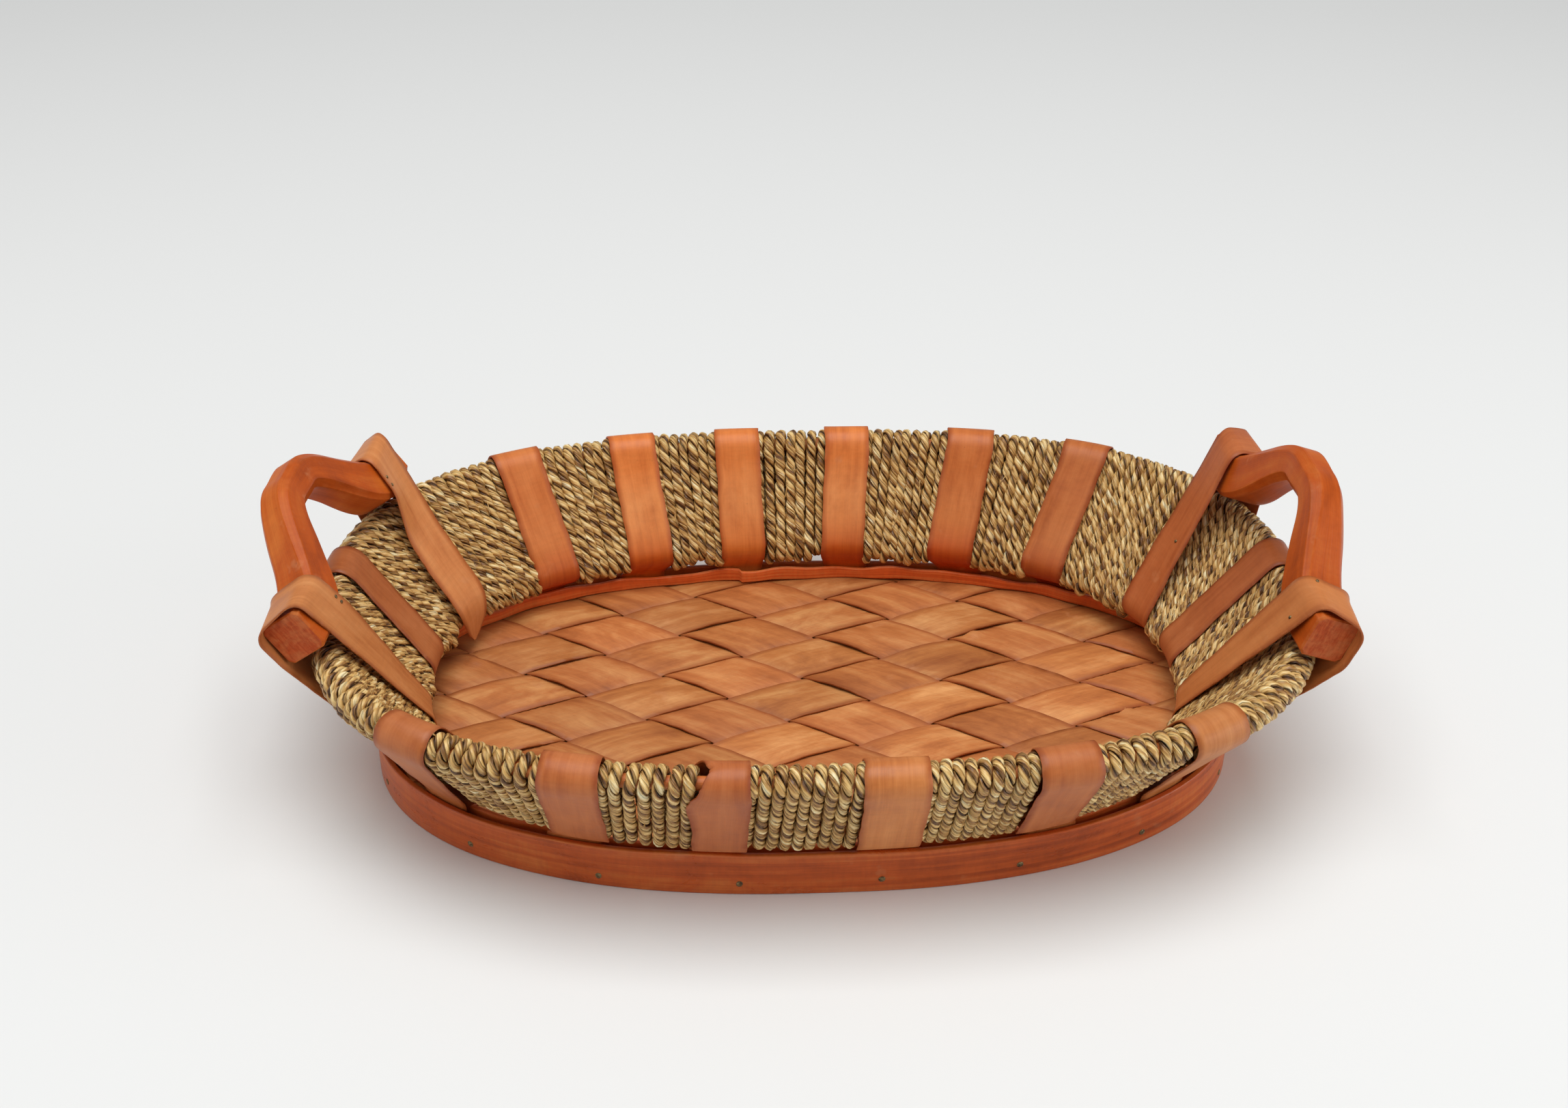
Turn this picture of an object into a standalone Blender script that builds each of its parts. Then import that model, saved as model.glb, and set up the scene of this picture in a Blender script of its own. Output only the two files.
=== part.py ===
"""Oval serving tray of bent wood, wood veneer and seagrass cord.

A bent base hoop holds a woven veneer floor on an inner ledge. The flaring wall is two round rods
wound with seagrass cord, between fourteen veneer bands whose ends are clamped inside the base.
A carved bow handle is strapped over the rim at each end. Nothing on the tray moves.
"""
import math
from collections import namedtuple

import bmesh
import bpy
import numpy as np
from mathutils import Vector

MM = 0.001
CLEARANCE = 0.3 * MM
CUT_OVERRUN = 5 * MM
UP = Vector((0, 0, 1))

# Base: an outer hoop, a slot for the band ends, then the ledge and the retaining strip.
BASE_HALF_LENGTH = 188 * MM
BASE_HALF_WIDTH = 109.7 * MM
BASE_SQUARENESS = 2.33
BASE_HOOP_HEIGHT = 20.6 * MM
BASE_HOOP_THICKNESS = 2.5 * MM
SLOT_PLAY = 0.5 * MM
LEDGE_THICKNESS = 4 * MM
LEDGE_LIFT = 1.5 * MM
LEDGE_TOP = 11.6 * MM
RETAINER_THICKNESS = 1.6 * MM
RETAINER_DROP = 1.8 * MM
BAND_END_HEIGHT = 9.5 * MM
BAND_BEND_LIFT = 1.2 * MM

# Wall: the rim rod, the lower rod and the cord wound round both.
RIM_HALF_LENGTH = 204.5 * MM
RIM_HALF_WIDTH = 130 * MM
RIM_SQUARENESS = 2.65
RIM_HEIGHT = 73.9 * MM
RIM_SHIFT = 3.4 * MM
LOWER_HALF_LENGTH = 171 * MM
LOWER_HALF_WIDTH = 108 * MM
LOWER_SQUARENESS = 2.4
LOWER_HEIGHT = 32.1 * MM
RIM_ROD_RADIUS = 2.8 * MM
LOWER_ROD_RADIUS = 2.6 * MM
CORD_THICKNESS = 4.2 * MM
CORD_PITCH = 5.2 * MM
CORD_GAP = 0.65 * MM

# Veneer bands, named from the right end anticlockwise: their places on the rim and their widths.
VENEER_THICKNESS = 0.8 * MM
BAND_WIDTH = 24.5 * MM
STRAP_WIDTH = 20.5 * MM
BELT_EASE = 0.5 * MM
FOOT_EASE = 0.3 * MM
BAND_SHARES = {
    "band_end_right": (0.0110, 0.86),
    "band_back_6": (0.1247, 0.88), "band_back_5": (0.1752, 0.9), "band_back_4": (0.2291, 0.84),
    "band_back_3": (0.2770, 0.86), "band_back_2": (0.3227, 0.88), "band_back_1": (0.3731, 0.9),
    "band_end_left": (0.4815, 0.84),
    "band_front_6": (0.6010, 0.94), "band_front_5": (0.6617, 0.93), "band_front_4": (0.7128, 0.86),
    "band_front_3": (0.7715, 1), "band_front_2": (0.8302, 0.97), "band_front_1": (0.8864, 1),
}
BACK_SPREAD_SHARE = 0.0085
FRONT_SPREAD_SHARE = 0.0185

# Floor: two sets of veneer strips that cross on a skewed lattice.
STRIP_THICKNESS = 0.8 * MM
RISING_STEP = Vector((35.2 * MM, 14.2 * MM, 0))
FALLING_STEP = Vector((27.9 * MM, -18.05 * MM, 0))
FLOOR_START = Vector((-3.1 * MM, 4.3 * MM, 0))
STRIP_GAP = 2.2 * MM
SHORTEST_STRIP = 30 * MM

# Handles: a bow carved from one stick, square feet, thinner grip.
HANDLE_HALF_LENGTH = 71.5 * MM
HANDLE_FOOT_END = 51.5 * MM
HANDLE_GRIP_END = 7 * MM
HANDLE_RISE = 32.6 * MM
FOOT_SIDE = 19.5 * MM
GRIP_SIDE = 15.5 * MM
HANDLE_CHAMFER = 2.2 * MM
STRAP_REACH = 59.5 * MM
LEFT_HANDLE_SHIFT = 16 * MM
LEFT_HANDLE_INSET = 2.3 * MM
RIGHT_HANDLE_SHIFT = 3 * MM
RIGHT_HANDLE_INSET = 5.3 * MM
TORN_STRAP = ("left", "far")

# How each handle sits on the rim: shifted along it, inset from its end, leaning out and turned.
HandlePose = namedtuple("HandlePose", "side shift inset lean turn tilt")
HANDLE_POSES = {
    "left": HandlePose(-1, LEFT_HANDLE_SHIFT, LEFT_HANDLE_INSET,
                       math.radians(35.5), math.radians(6.7), math.radians(-0.3)),
    "right": HandlePose(1, RIGHT_HANDLE_SHIFT, RIGHT_HANDLE_INSET,
                        math.radians(19.7), math.radians(-3.4), math.radians(2.4)),
}
LOOSE_INSET_SHARES = (0.196, 0.206, 0.211, 0.219, 0.167, 0.074, -0.017)
LOOSE_HEIGHT_SHARES = (0.93, 0.77, 0.643, 0.555, 0.46, 0.36, 0.263)
LOOSE_WIDTH_SHARES = (1, 1, 1, 0.97, 0.85, 0.55, 0.08)

# Finishes: colour, roughness, metallic.
Finish = namedtuple("Finish", "colour roughness metallic")
RED_WOOD = Finish((0.47, 0.10, 0.035), 0.45, 0)
ROD_WOOD = Finish((0.60, 0.20, 0.07), 0.5, 0)
BAND_VENEER = Finish((0.49, 0.16, 0.06), 0.5, 0)
FLOOR_VENEER = Finish((0.55, 0.21, 0.08), 0.5, 0)
SEAGRASS = Finish((0.36, 0.23, 0.08), 0.8, 0)

SHARP_ANGLE = math.radians(50)
OVAL_STEPS = 2880
HOOP_STEPS = 72
HANDLE_STEPS = 24
FOOT_CORNERS = 8
ROD_SIDES = 5
GAP_SAMPLES = 5
SEAT_STEPS = 1440
STRIP_OVERHANG_STEPS = 2
LEAST_MITRE_SHARE = 0.5
END_SHARE = 0.04

Place = namedtuple("Place", "point tangent outward")


class Oval:
    """A level oval line. A share of its length runs from 0 at the right end, anticlockwise."""

    def __init__(self, half_length, half_width, squareness, shift=0):
        turn = np.linspace(0, 2 * math.pi, OVAL_STEPS + 1)
        cosine, sine = np.cos(turn), np.sin(turn)
        power = 2 / squareness
        self.x = shift + half_length * np.sign(cosine) * np.abs(cosine) ** power
        self.y = half_width * np.sign(sine) * np.abs(sine) ** power
        steps = np.hypot(np.diff(self.x), np.diff(self.y))
        walked = np.concatenate(([0], np.cumsum(steps)))
        self.length = walked[-1]
        self.shares = walked / self.length

    def spot(self, share):
        share = share % 1
        return Vector((np.interp(share, self.shares, self.x), np.interp(share, self.shares, self.y), 0))

    def at(self, share, inset=0, height=0):
        """The point, the direction of travel and the level outward direction at one share."""
        nudge_share = 2 / OVAL_STEPS
        tangent = (self.spot(share + nudge_share) - self.spot(share - nudge_share)).normalized()
        outward = tangent.cross(UP)
        return Place(self.spot(share) - outward * inset + UP * height, tangent, outward)

    def even_turn_shares(self, count):
        """Shares that lie closer where the oval bends more."""
        return [self.shares[step * OVAL_STEPS // count] for step in range(count)]

    def nearest_share(self, point):
        return self.shares[np.argmin((self.x - point.x) ** 2 + (self.y - point.y) ** 2)]


BASE_LINE = Oval(BASE_HALF_LENGTH, BASE_HALF_WIDTH, BASE_SQUARENESS)
RIM_LINE = Oval(RIM_HALF_LENGTH, RIM_HALF_WIDTH, RIM_SQUARENESS, RIM_SHIFT)
LOWER_LINE = Oval(LOWER_HALF_LENGTH, LOWER_HALF_WIDTH, LOWER_SQUARENESS)

SLOT_WIDTH = 3 * SLOT_PLAY + 2 * VENEER_THICKNESS
CORE_INSET = BASE_HOOP_THICKNESS + SLOT_WIDTH
FLOOR_RISE = (STRIP_THICKNESS + CLEARANCE) / 2
FLOOR_MIDDLE = LEDGE_TOP + CLEARANCE + FLOOR_RISE + STRIP_THICKNESS / 2
FLOOR_TOP = FLOOR_MIDDLE + FLOOR_RISE + STRIP_THICKNESS / 2

RIM_WRAP_ANGLES = (math.pi / 12, 5 * math.pi / 12, 3 * math.pi / 4, 13 * math.pi / 12)
LOWER_WRAP_ANGLES = (10 * math.pi / 9, 3 * math.pi / 2, 17 * math.pi / 9)
RIM_BEND = math.pi / 6
LOWER_BEND = 7 * math.pi / 36
RIM_RUN = (RIM_ROD_RADIUS + CLEARANCE + CORD_THICKNESS / 2) / math.cos(RIM_BEND)
LOWER_RUN = (LOWER_ROD_RADIUS + CLEARANCE + CORD_THICKNESS / 2) / math.cos(LOWER_BEND)
RIM_ROLL = RIM_RUN + CORD_THICKNESS / 2 / math.cos(RIM_BEND)
LOWER_ROLL = LOWER_RUN + CORD_THICKNESS / 2 / math.cos(LOWER_BEND)
BELT_STEPS = 12
SLIP_SHARES = (-0.5, 0, 0.5)
BELT_HALF_STEP = math.pi / BELT_STEPS
BELT_SPACE = BELT_EASE + VENEER_THICKNESS / 2
RIM_BELT = (RIM_ROLL + BELT_SPACE) / math.cos(BELT_HALF_STEP)
LOWER_BELT = (LOWER_ROLL + BELT_SPACE) / math.cos(BELT_HALF_STEP)


def add_object(name, shape, finish):
    """Close a bmesh into a named object with a material of its own."""
    bmesh.ops.recalc_face_normals(shape, faces=shape.faces)
    mesh = bpy.data.meshes.new(name)
    shape.to_mesh(mesh)
    shape.free()
    mesh.shade_smooth()
    mesh.set_sharp_from_angle(angle=SHARP_ANGLE)
    material = bpy.data.materials.new(name)
    material.use_nodes = True
    shader = material.node_tree.nodes["Principled BSDF"]
    shader.inputs["Base Color"].default_value = (*finish.colour, 1)
    shader.inputs["Roughness"].default_value = finish.roughness
    shader.inputs["Metallic"].default_value = finish.metallic
    mesh.materials.append(material)
    piece = bpy.data.objects.new(name, mesh)
    bpy.context.collection.objects.link(piece)
    return piece


def skin(shape, rings, closed=False):
    """Skin a row of matching rings; a row that isn't closed is capped at both ends."""
    rows = [[shape.verts.new(point) for point in ring] for ring in rings]
    for row, after in zip(rows, rows[1:] + rows[:1] if closed else rows[1:]):
        for i in range(len(row)):
            j = (i + 1) % len(row)
            shape.faces.new((row[i], row[j], after[j], after[i]))
    if not closed:
        shape.faces.new(rows[0][::-1])
        shape.faces.new(rows[-1])


def add_strip_hoop(name, line, inset, thickness, bottom, top, finish):
    """A flat strip bent on edge into an oval hoop."""
    rings = []
    for share in line.even_turn_shares(HOOP_STEPS):
        rings.append([line.at(share, depth, height).point for depth, height in (
            (inset, bottom), (inset, top), (inset + thickness, top), (inset + thickness, bottom))])
    shape = bmesh.new()
    skin(shape, rings, closed=True)
    return add_object(name, shape, finish)


def add_rod_hoop(name, line, height, radius, finish):
    """A round rod bent into an oval hoop."""
    rings = []
    for share in line.even_turn_shares(HOOP_STEPS):
        place = line.at(share, 0, height)
        turns = [2 * math.pi * k / ROD_SIDES for k in range(ROD_SIDES)]
        rings.append([place.point + (place.outward * math.cos(turn) + UP * math.sin(turn)) * radius
                      for turn in turns])
    shape = bmesh.new()
    skin(shape, rings, closed=True)
    return add_object(name, shape, finish)


def foot_share(share):
    """The share of the lower hoops that stands under one share of the rim."""
    turn = 2 * math.pi * share
    spread_share = BACK_SPREAD_SHARE if share % 1 < 0.5 else FRONT_SPREAD_SHARE
    return share - spread_share * math.sin(2 * turn) - RIM_SHIFT / RIM_LINE.length * math.sin(turn)


class WallCut:
    """The wall cut across at one share, slipped sideways by a length that all hoops share."""

    def __init__(self, share, slip=0):
        self.rim = RIM_LINE.at(share + slip / RIM_LINE.length, 0, RIM_HEIGHT)
        low_share = foot_share(share)
        self.low = LOWER_LINE.at(low_share + slip / LOWER_LINE.length, 0, LOWER_HEIGHT)
        self.base_share = low_share + slip / BASE_LINE.length
        self.along = (self.rim.point - self.low.point).normalized()

    def round(self, place, radius, angle):
        """A point at an angle round one rod: 0 is outward and a right angle is up the wall."""
        rise = (self.along - place.tangent * self.along.dot(place.tangent)).normalized()
        out = place.tangent.cross(rise)
        return place.point + (out * math.cos(angle) + rise * math.sin(angle)) * radius

    def level(self, point):
        """The same point as level distance out from the lower rod and height above it."""
        away = point - self.low.point
        return away.dot(self.low.outward), away.z

    def slot(self, row, height):
        """A point in the base slot: row 0 holds the outer ends and row 1 the inner ends."""
        inset = BASE_HOOP_THICKNESS + SLOT_PLAY + VENEER_THICKNESS / 2
        return BASE_LINE.at(self.base_share, inset + row * (SLOT_PLAY + VENEER_THICKNESS), height).point


def outline(points):
    """The indices of the points on the outline that a taut belt takes, anticlockwise."""
    order = sorted(range(len(points)), key=lambda i: points[i])

    def turn(a, b, c):
        (ax, ay), (bx, by), (cx, cy) = points[a], points[b], points[c]
        return (bx - ax) * (cy - ay) - (by - ay) * (cx - ax)

    def half(row):
        kept = []
        for i in row:
            while len(kept) > 1 and turn(kept[-2], kept[-1], i) <= 0:
                kept.pop()
            kept.append(i)
        return kept[:-1]

    return half(order) + half(order[::-1])


class Belt:
    """The middle surface of a veneer belt round the wall, as columns of points across its width.

    A spot is a kind of place and a number, which give a point on each wall cut across the belt.
    """

    def __init__(self, share, width, handle=None, end=0):
        self.share, self.width, self.handle, self.end = share, width, handle, end
        self.spots = [("slot", 0), ("slot", 1), ("wall", 0), ("wall", math.pi)]
        for step in range(BELT_STEPS):
            self.spots += [(hoop, 2 * math.pi * step / BELT_STEPS) for hoop in ("rim", "low")]
        if handle:
            self.spots += [("foot", corner) for corner in range(FOOT_CORNERS)]
        kept = set()
        for slip_share in SLIP_SHARES:
            kept.update(self.taut(slip_share * width)[2])
        if handle:
            kept.add(self.spots.index(("rim", 2 * math.pi / BELT_STEPS)))
        places = self.taut(0)[1]
        heart = np.mean([places[i] for i in kept], axis=0)
        bearings = {i: math.atan2(*(places[i] - heart)[::-1]) for i in kept}
        self.order = sorted(kept, key=lambda i: (bearings[i] - bearings[0]) % (2 * math.pi))

    def point(self, cut, slip, spot):
        kind, value = spot
        if kind == "rim":
            return cut.round(cut.rim, RIM_BELT, value)
        if kind == "low":
            return cut.round(cut.low, LOWER_BELT, value)
        if kind == "wall":
            mean_length = (RIM_LINE.length + LOWER_LINE.length) / 2
            beside = WallCut(self.share + slip / mean_length)
            return (beside.round(beside.rim, RIM_BELT, value)
                    + beside.round(beside.low, LOWER_BELT, value)) / 2
        if kind == "foot":
            return self.handle.foot_corner(self.end, slip, value)
        return cut.slot(value, BASE_HOOP_HEIGHT + BAND_BEND_LIFT)

    def taut(self, slip):
        """All spots at one slip, their places on the level cut, and which of them the belt touches."""
        cut = WallCut(self.share, slip)
        points = [self.point(cut, slip, spot) for spot in self.spots]
        places = [np.array(cut.level(point)) for point in points]
        return points, places, outline([tuple(place) for place in places])

    def column(self, slip, order):
        """The belt at one slip. A spot on the wall that it passes by moves out to where it runs."""
        points, places, touching = self.taut(slip)
        column = []
        for i in order:
            if i in touching or self.spots[i][0] == "foot":
                column.append(points[i])
                continue
            spans = []
            for a, b in zip(touching, touching[1:] + touching[:1]):
                way = places[b] - places[a]
                along_share = (places[i] - places[a]).dot(way) / way.dot(way)
                along_share = min(max(along_share, END_SHARE), 1 - END_SHARE)
                away = np.linalg.norm(places[a] + way * along_share - places[i])
                spans.append((away, a, b, along_share))
            _, a, b, along_share = min(spans)
            column.append(points[a].lerp(points[b], along_share))
        return column

    def columns(self, loose=False):
        """The outer end stands in the slot; the inner end does too, or it is torn and hangs loose."""
        order = list(self.order)
        while loose and self.spots[order[-1]][0] in ("slot", "low", "wall"):
            order.pop()
        columns = []
        for slip_share in SLIP_SHARES:
            slip = slip_share * self.width
            cut = WallCut(self.share, slip)
            column = [cut.slot(0, BAND_END_HEIGHT)] + self.column(slip, order)
            column += self.torn_end(slip) if loose else [cut.slot(1, BAND_END_HEIGHT)]
            columns.append(column)
        return columns

    def torn_end(self, slip):
        """The loose end hangs inside the wall, at heights and at distances from it that are shares."""
        cut = WallCut(self.share)
        low = cut.low
        points = []
        for inset_share, height_share, width_share in zip(
                LOOSE_INSET_SHARES, LOOSE_HEIGHT_SHARES, LOOSE_WIDTH_SHARES):
            height = RIM_HEIGHT * height_share
            on_wall = low.point + cut.along * ((height - LOWER_HEIGHT) / cut.along.z)
            inward = low.outward * -inset_share * RIM_HEIGHT
            points.append(on_wall + inward + low.tangent * slip * width_share)
        return points


def add_belt(name, columns, thickness, finish):
    """Thicken a belt's middle surface into one solid strip."""
    rows = list(zip(*columns))
    rings = []
    for i, row in enumerate(rows):
        before, after = rows[max(i - 1, 0)], rows[min(i + 1, len(rows) - 1)]
        faces, backs = [], []
        for k, point in enumerate(row):
            across = (row[min(k + 1, len(row) - 1)] - row[max(k - 1, 0)]).normalized()
            arriving = (point - before[k]) if i else (after[k] - point)
            leaving = (after[k] - point) if i < len(rows) - 1 else arriving
            mean = (arriving.normalized() + leaving.normalized()).normalized()
            mitre = max(mean.dot(leaving.normalized()), LEAST_MITRE_SHARE)
            lift = mean.cross(across).normalized() * (thickness / 2 / mitre)
            faces.append(point + lift)
            backs.append(point - lift)
        rings.append(faces + backs[::-1])
    shape = bmesh.new()
    skin(shape, rings)
    return add_object(name, shape, finish)


class Winding:
    """One unbroken cord from one band to the next: its middle line, side directions and widths."""

    def __init__(self, start_share, end_share):
        span = (end_share - start_share) * RIM_LINE.length
        runs = max(3, round(span / CORD_PITCH))
        self.pitch_share = (end_share - start_share) / runs
        self.points, self.sides, self.half_widths = [], [], []
        steps = len(RIM_WRAP_ANGLES) + len(LOWER_WRAP_ANGLES)
        first = start_share + self.pitch_share / 2
        tail_start = LOWER_ROD_RADIUS + CLEARANCE
        tail_end = tail_start + CORD_THICKNESS
        self.add(first, self.tail, tail_start)
        self.add(first, self.tail, tail_end)
        for turn in range(runs):
            for step, angle in enumerate(RIM_WRAP_ANGLES):
                self.add(first + self.pitch_share * (turn + step / steps), self.over_rim, angle)
            if turn == runs - 1:
                break
            for step, angle in enumerate(LOWER_WRAP_ANGLES, len(RIM_WRAP_ANGLES)):
                self.add(first + self.pitch_share * (turn + step / steps), self.under_low, angle)
        last = first + self.pitch_share * (runs - 1 + (len(RIM_WRAP_ANGLES) - 1) / steps)
        self.add(last, self.tail, tail_end)
        self.add(last, self.tail, tail_start)

    @staticmethod
    def over_rim(cut, angle):
        return cut.round(cut.rim, RIM_RUN, angle)

    @staticmethod
    def under_low(cut, angle):
        return cut.round(cut.low, LOWER_RUN, angle)

    @staticmethod
    def tail(cut, rise):
        return cut.low.point + cut.along * rise

    def add(self, share, rule, value):
        """Add a point; the cord is as wide there as its next turn leaves room for."""
        point = rule(WallCut(share), value)
        to_next = rule(WallCut(share + self.pitch_share), value) - point
        self.points.append(point)
        self.sides.append(to_next.normalized())
        self.half_widths.append((to_next.length - CORD_GAP) / 2)

    def rings(self):
        """The diamond sections of the cord, mitred where it bends and square at its ends."""
        ways = [(end - start).normalized() for start, end in zip(self.points, self.points[1:])]
        rings = []
        for i, point in enumerate(self.points):
            arriving = ways[max(i - 1, 0)]
            leaving = ways[min(i, len(ways) - 1)]
            way = (arriving + leaving).normalized()
            side = (self.sides[i] - way * self.sides[i].dot(way)).normalized() * self.half_widths[i]
            lift = way.cross(side).normalized() * (CORD_THICKNESS / 2 / way.dot(leaving))
            rings.append([point + side, point + lift, point - side, point - lift])
        return rings

    def least_gap(self):
        """The least gap between turns, measured on points spread along the middle line."""
        points, widths, walked = [], [], []
        distance = 0
        for i, (start, end) in enumerate(zip(self.points, self.points[1:])):
            for k in range(GAP_SAMPLES):
                part = k / GAP_SAMPLES
                points.append(start.lerp(end, part))
                widths.append(self.half_widths[i] * (1 - part) + self.half_widths[i + 1] * part)
                walked.append(distance + (end - start).length * part)
            distance += (end - start).length
        points, widths, walked = np.array(points), np.array(widths), np.array(walked)
        apart = np.linalg.norm(points[:, None] - points[None], axis=2) - widths[:, None] - widths[None]
        return apart[np.abs(walked[:, None] - walked[None]) > 4 * CORD_PITCH].min()


def add_winding(name, start_share, end_share):
    """One cord wound round both rods between two bands, with its ends tucked inside the wall."""
    winding = Winding(start_share, end_share)
    shape = bmesh.new()
    skin(shape, winding.rings())
    add_object(name, shape, SEAGRASS)
    print(f"{name}: least gap to itself {winding.least_gap() / MM:.2f} mm")


class Handle:
    """A bow handle: its feet lie along the rim at one end of the tray and its grip leans out."""

    def __init__(self, pose):
        self.side = pose.side
        turned = math.cos(pose.turn)
        self.chord = Vector((math.sin(pose.turn), turned * math.cos(pose.tilt), math.sin(pose.tilt)))
        rise = Vector((self.side * math.sin(pose.lean), 0, math.cos(pose.lean)))
        self.rise = (rise - self.chord * rise.dot(self.chord)).normalized()
        self.face = self.rise.cross(self.chord) * self.side
        reach = self.side * (RIM_HALF_LENGTH - pose.inset)
        self.centre = Vector((RIM_SHIFT + reach, pose.shift, RIM_HEIGHT))
        self.seat()

    def bow(self, along):
        """Height of the bow's middle line above its feet, and its half side, at one length."""
        bend = min(max((HANDLE_FOOT_END - abs(along)) / (HANDLE_FOOT_END - HANDLE_GRIP_END), 0), 1)
        blend = bend * bend * (3 - 2 * bend)
        return HANDLE_RISE * blend, (FOOT_SIDE + (GRIP_SIDE - FOOT_SIDE) * blend) / 2

    def middle(self, along):
        return self.centre + self.chord * along + self.rise * self.bow(along)[0]

    def ring(self, along, grow=0):
        """The eight corners of the chamfered square section at one length along the chord."""
        step = HANDLE_HALF_LENGTH / OVAL_STEPS
        way = (self.middle(along + step) - self.middle(along - step)).normalized()
        across = way.cross(self.face).normalized() * self.side
        if across.dot(self.rise) < 0:
            across = -across
        half = self.bow(along)[1] + grow
        inner = half - HANDLE_CHAMFER - grow * (1 - math.tan(math.pi / 8))
        pairs = ((half, inner), (inner, half), (-inner, half), (-half, inner),
                 (-half, -inner), (-inner, -half), (inner, -half), (half, -inner))
        return [self.middle(along) + across * a + self.face * b for a, b in pairs]

    def seat(self):
        """Lower the handle until its feet rest on the wound rim, but for the clearance."""
        spots = []
        for share in np.linspace(0, 1, SEAT_STEPS):
            cut = WallCut(share)
            if cut.rim.point.x * self.side > RIM_HALF_LENGTH / 2:
                corners = [cut.round(cut.rim, RIM_ROLL, angle) for angle in RIM_WRAP_ANGLES]
                for start, end in zip(corners, corners[1:]):
                    spots += [start.lerp(end, k / GAP_SAMPLES) for k in range(GAP_SAMPLES)]
        away = np.array(spots) - np.array(self.centre)
        along, rise, face = (away @ np.array(way) for way in (self.chord, self.rise, self.face))
        bows = np.array([self.bow(value) for value in along])
        on_handle = np.abs(along) < HANDLE_HALF_LENGTH
        low, high = 0, RIM_HALF_WIDTH
        while high - low > CLEARANCE / 10:
            lift = (low + high) / 2
            level = np.abs(rise - lift * self.rise.z - bows[:, 0])
            sidewise = np.abs(face - lift * self.face.z)
            half = bows[:, 1] + CLEARANCE
            inside = (level < half) & (sidewise < half) & (level + sidewise < 2 * half - HANDLE_CHAMFER)
            low, high = (lift, high) if (inside & on_handle).any() else (low, lift)
        self.centre += UP * high

    def strap_share(self, end):
        return RIM_LINE.nearest_share(self.middle(end * STRAP_REACH))

    def foot_corner(self, end, slip, corner):
        """A corner of the foot, grown by the room that a strap takes, slipped along the chord."""
        return self.ring(end * STRAP_REACH + self.side * slip, BELT_SPACE + FOOT_EASE)[corner]


def add_handle(name, handle):
    shape = bmesh.new()
    spans = [HANDLE_HALF_LENGTH * (2 * k / HANDLE_STEPS - 1) for k in range(HANDLE_STEPS + 1)]
    skin(shape, [handle.ring(along) for along in spans])
    return add_object(name, shape, RED_WOOD)


def clear_scene():
    for old in list(bpy.data.objects):
        bpy.data.objects.remove(old)


def build_base():
    add_strip_hoop("base_outer_hoop", BASE_LINE, 0, BASE_HOOP_THICKNESS, 0, BASE_HOOP_HEIGHT, RED_WOOD)
    add_strip_hoop("base_ledge_hoop", BASE_LINE, CORE_INSET, LEDGE_THICKNESS, LEDGE_LIFT, LEDGE_TOP,
                   ROD_WOOD)
    add_strip_hoop("base_retaining_strip", BASE_LINE, CORE_INSET, RETAINER_THICKNESS,
                   FLOOR_TOP + CLEARANCE, BASE_HOOP_HEIGHT - RETAINER_DROP, RED_WOOD)


def within_ledge(spot):
    """Whether a point of the floor lies inside the outline that the floor is trimmed to."""
    across = abs(spot.x) / (BASE_HALF_LENGTH - CORE_INSET)
    deep = abs(spot.y) / (BASE_HALF_WIDTH - CORE_INSET)
    return across ** BASE_SQUARENESS + deep ** BASE_SQUARENESS < 1


def build_floor():
    """Veneer strips woven one over, one under, trimmed to the oval between ledge and strip."""
    trim = bmesh.new()
    skin(trim, [[BASE_LINE.at(share, CORE_INSET, height).point
                 for share in BASE_LINE.even_turn_shares(HOOP_STEPS)]
                for height in (0, FLOOR_TOP + CUT_OVERRUN)])
    trimmer = add_object("floor_trim", trim, FLOOR_VENEER)
    trimmer.hide_render = True
    trimmer.display_type = "WIRE"
    for family, step, cross, over in (("rising", RISING_STEP, FALLING_STEP, 1),
                                      ("falling", FALLING_STEP, RISING_STEP, -1)):
        level = step.cross(cross).length
        spacing = level / step.length
        flat_share = 0.5 - STRIP_GAP / 2 / (level / cross.length)
        half_share = 0.5 - STRIP_GAP / 2 / spacing
        normal = Vector((-step.y, step.x, 0)).normalized()
        reach = math.hypot(normal.x * (BASE_HALF_LENGTH - CORE_INSET),
                           normal.y * (BASE_HALF_WIDTH - CORE_INSET))
        first = math.ceil((-reach - FLOOR_START.dot(normal)) / spacing)
        last = math.floor((reach - FLOOR_START.dot(normal)) / spacing)
        sign = 1 if cross.dot(normal) > 0 else -1
        furthest = math.ceil(2 * BASE_HALF_LENGTH / step.length)
        number = 0
        for row in range(first, last + 1):
            index = row * sign
            inside = [k for k in range(-furthest, furthest + 1)
                      if within_ledge(FLOOR_START + cross * index + step * k)]
            if (len(inside) - 1) * step.length < SHORTEST_STRIP:
                continue
            number += 1
            rings = []
            for k in range(inside[0] - STRIP_OVERHANG_STEPS, inside[-1] + STRIP_OVERHANG_STEPS + 1):
                rise = FLOOR_RISE * over * (1 if (k + index) % 2 == 0 else -1)
                for part in (-flat_share, flat_share):
                    middle = FLOOR_START + step * (k + part) + UP * (FLOOR_MIDDLE + rise)
                    edges = [middle + cross * (index - half_share), middle + cross * (index + half_share)]
                    half = UP * (STRIP_THICKNESS / 2)
                    rings.append([edges[0] - half, edges[1] - half, edges[1] + half, edges[0] + half])
            shape = bmesh.new()
            skin(shape, rings)
            strip = add_object(f"floor_strip_{family}_{number}", shape, FLOOR_VENEER)
            bound = strip.modifiers.new("trim", "BOOLEAN")
            bound.operation = "INTERSECT"
            bound.solver = "EXACT"
            bound.object = trimmer


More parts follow.
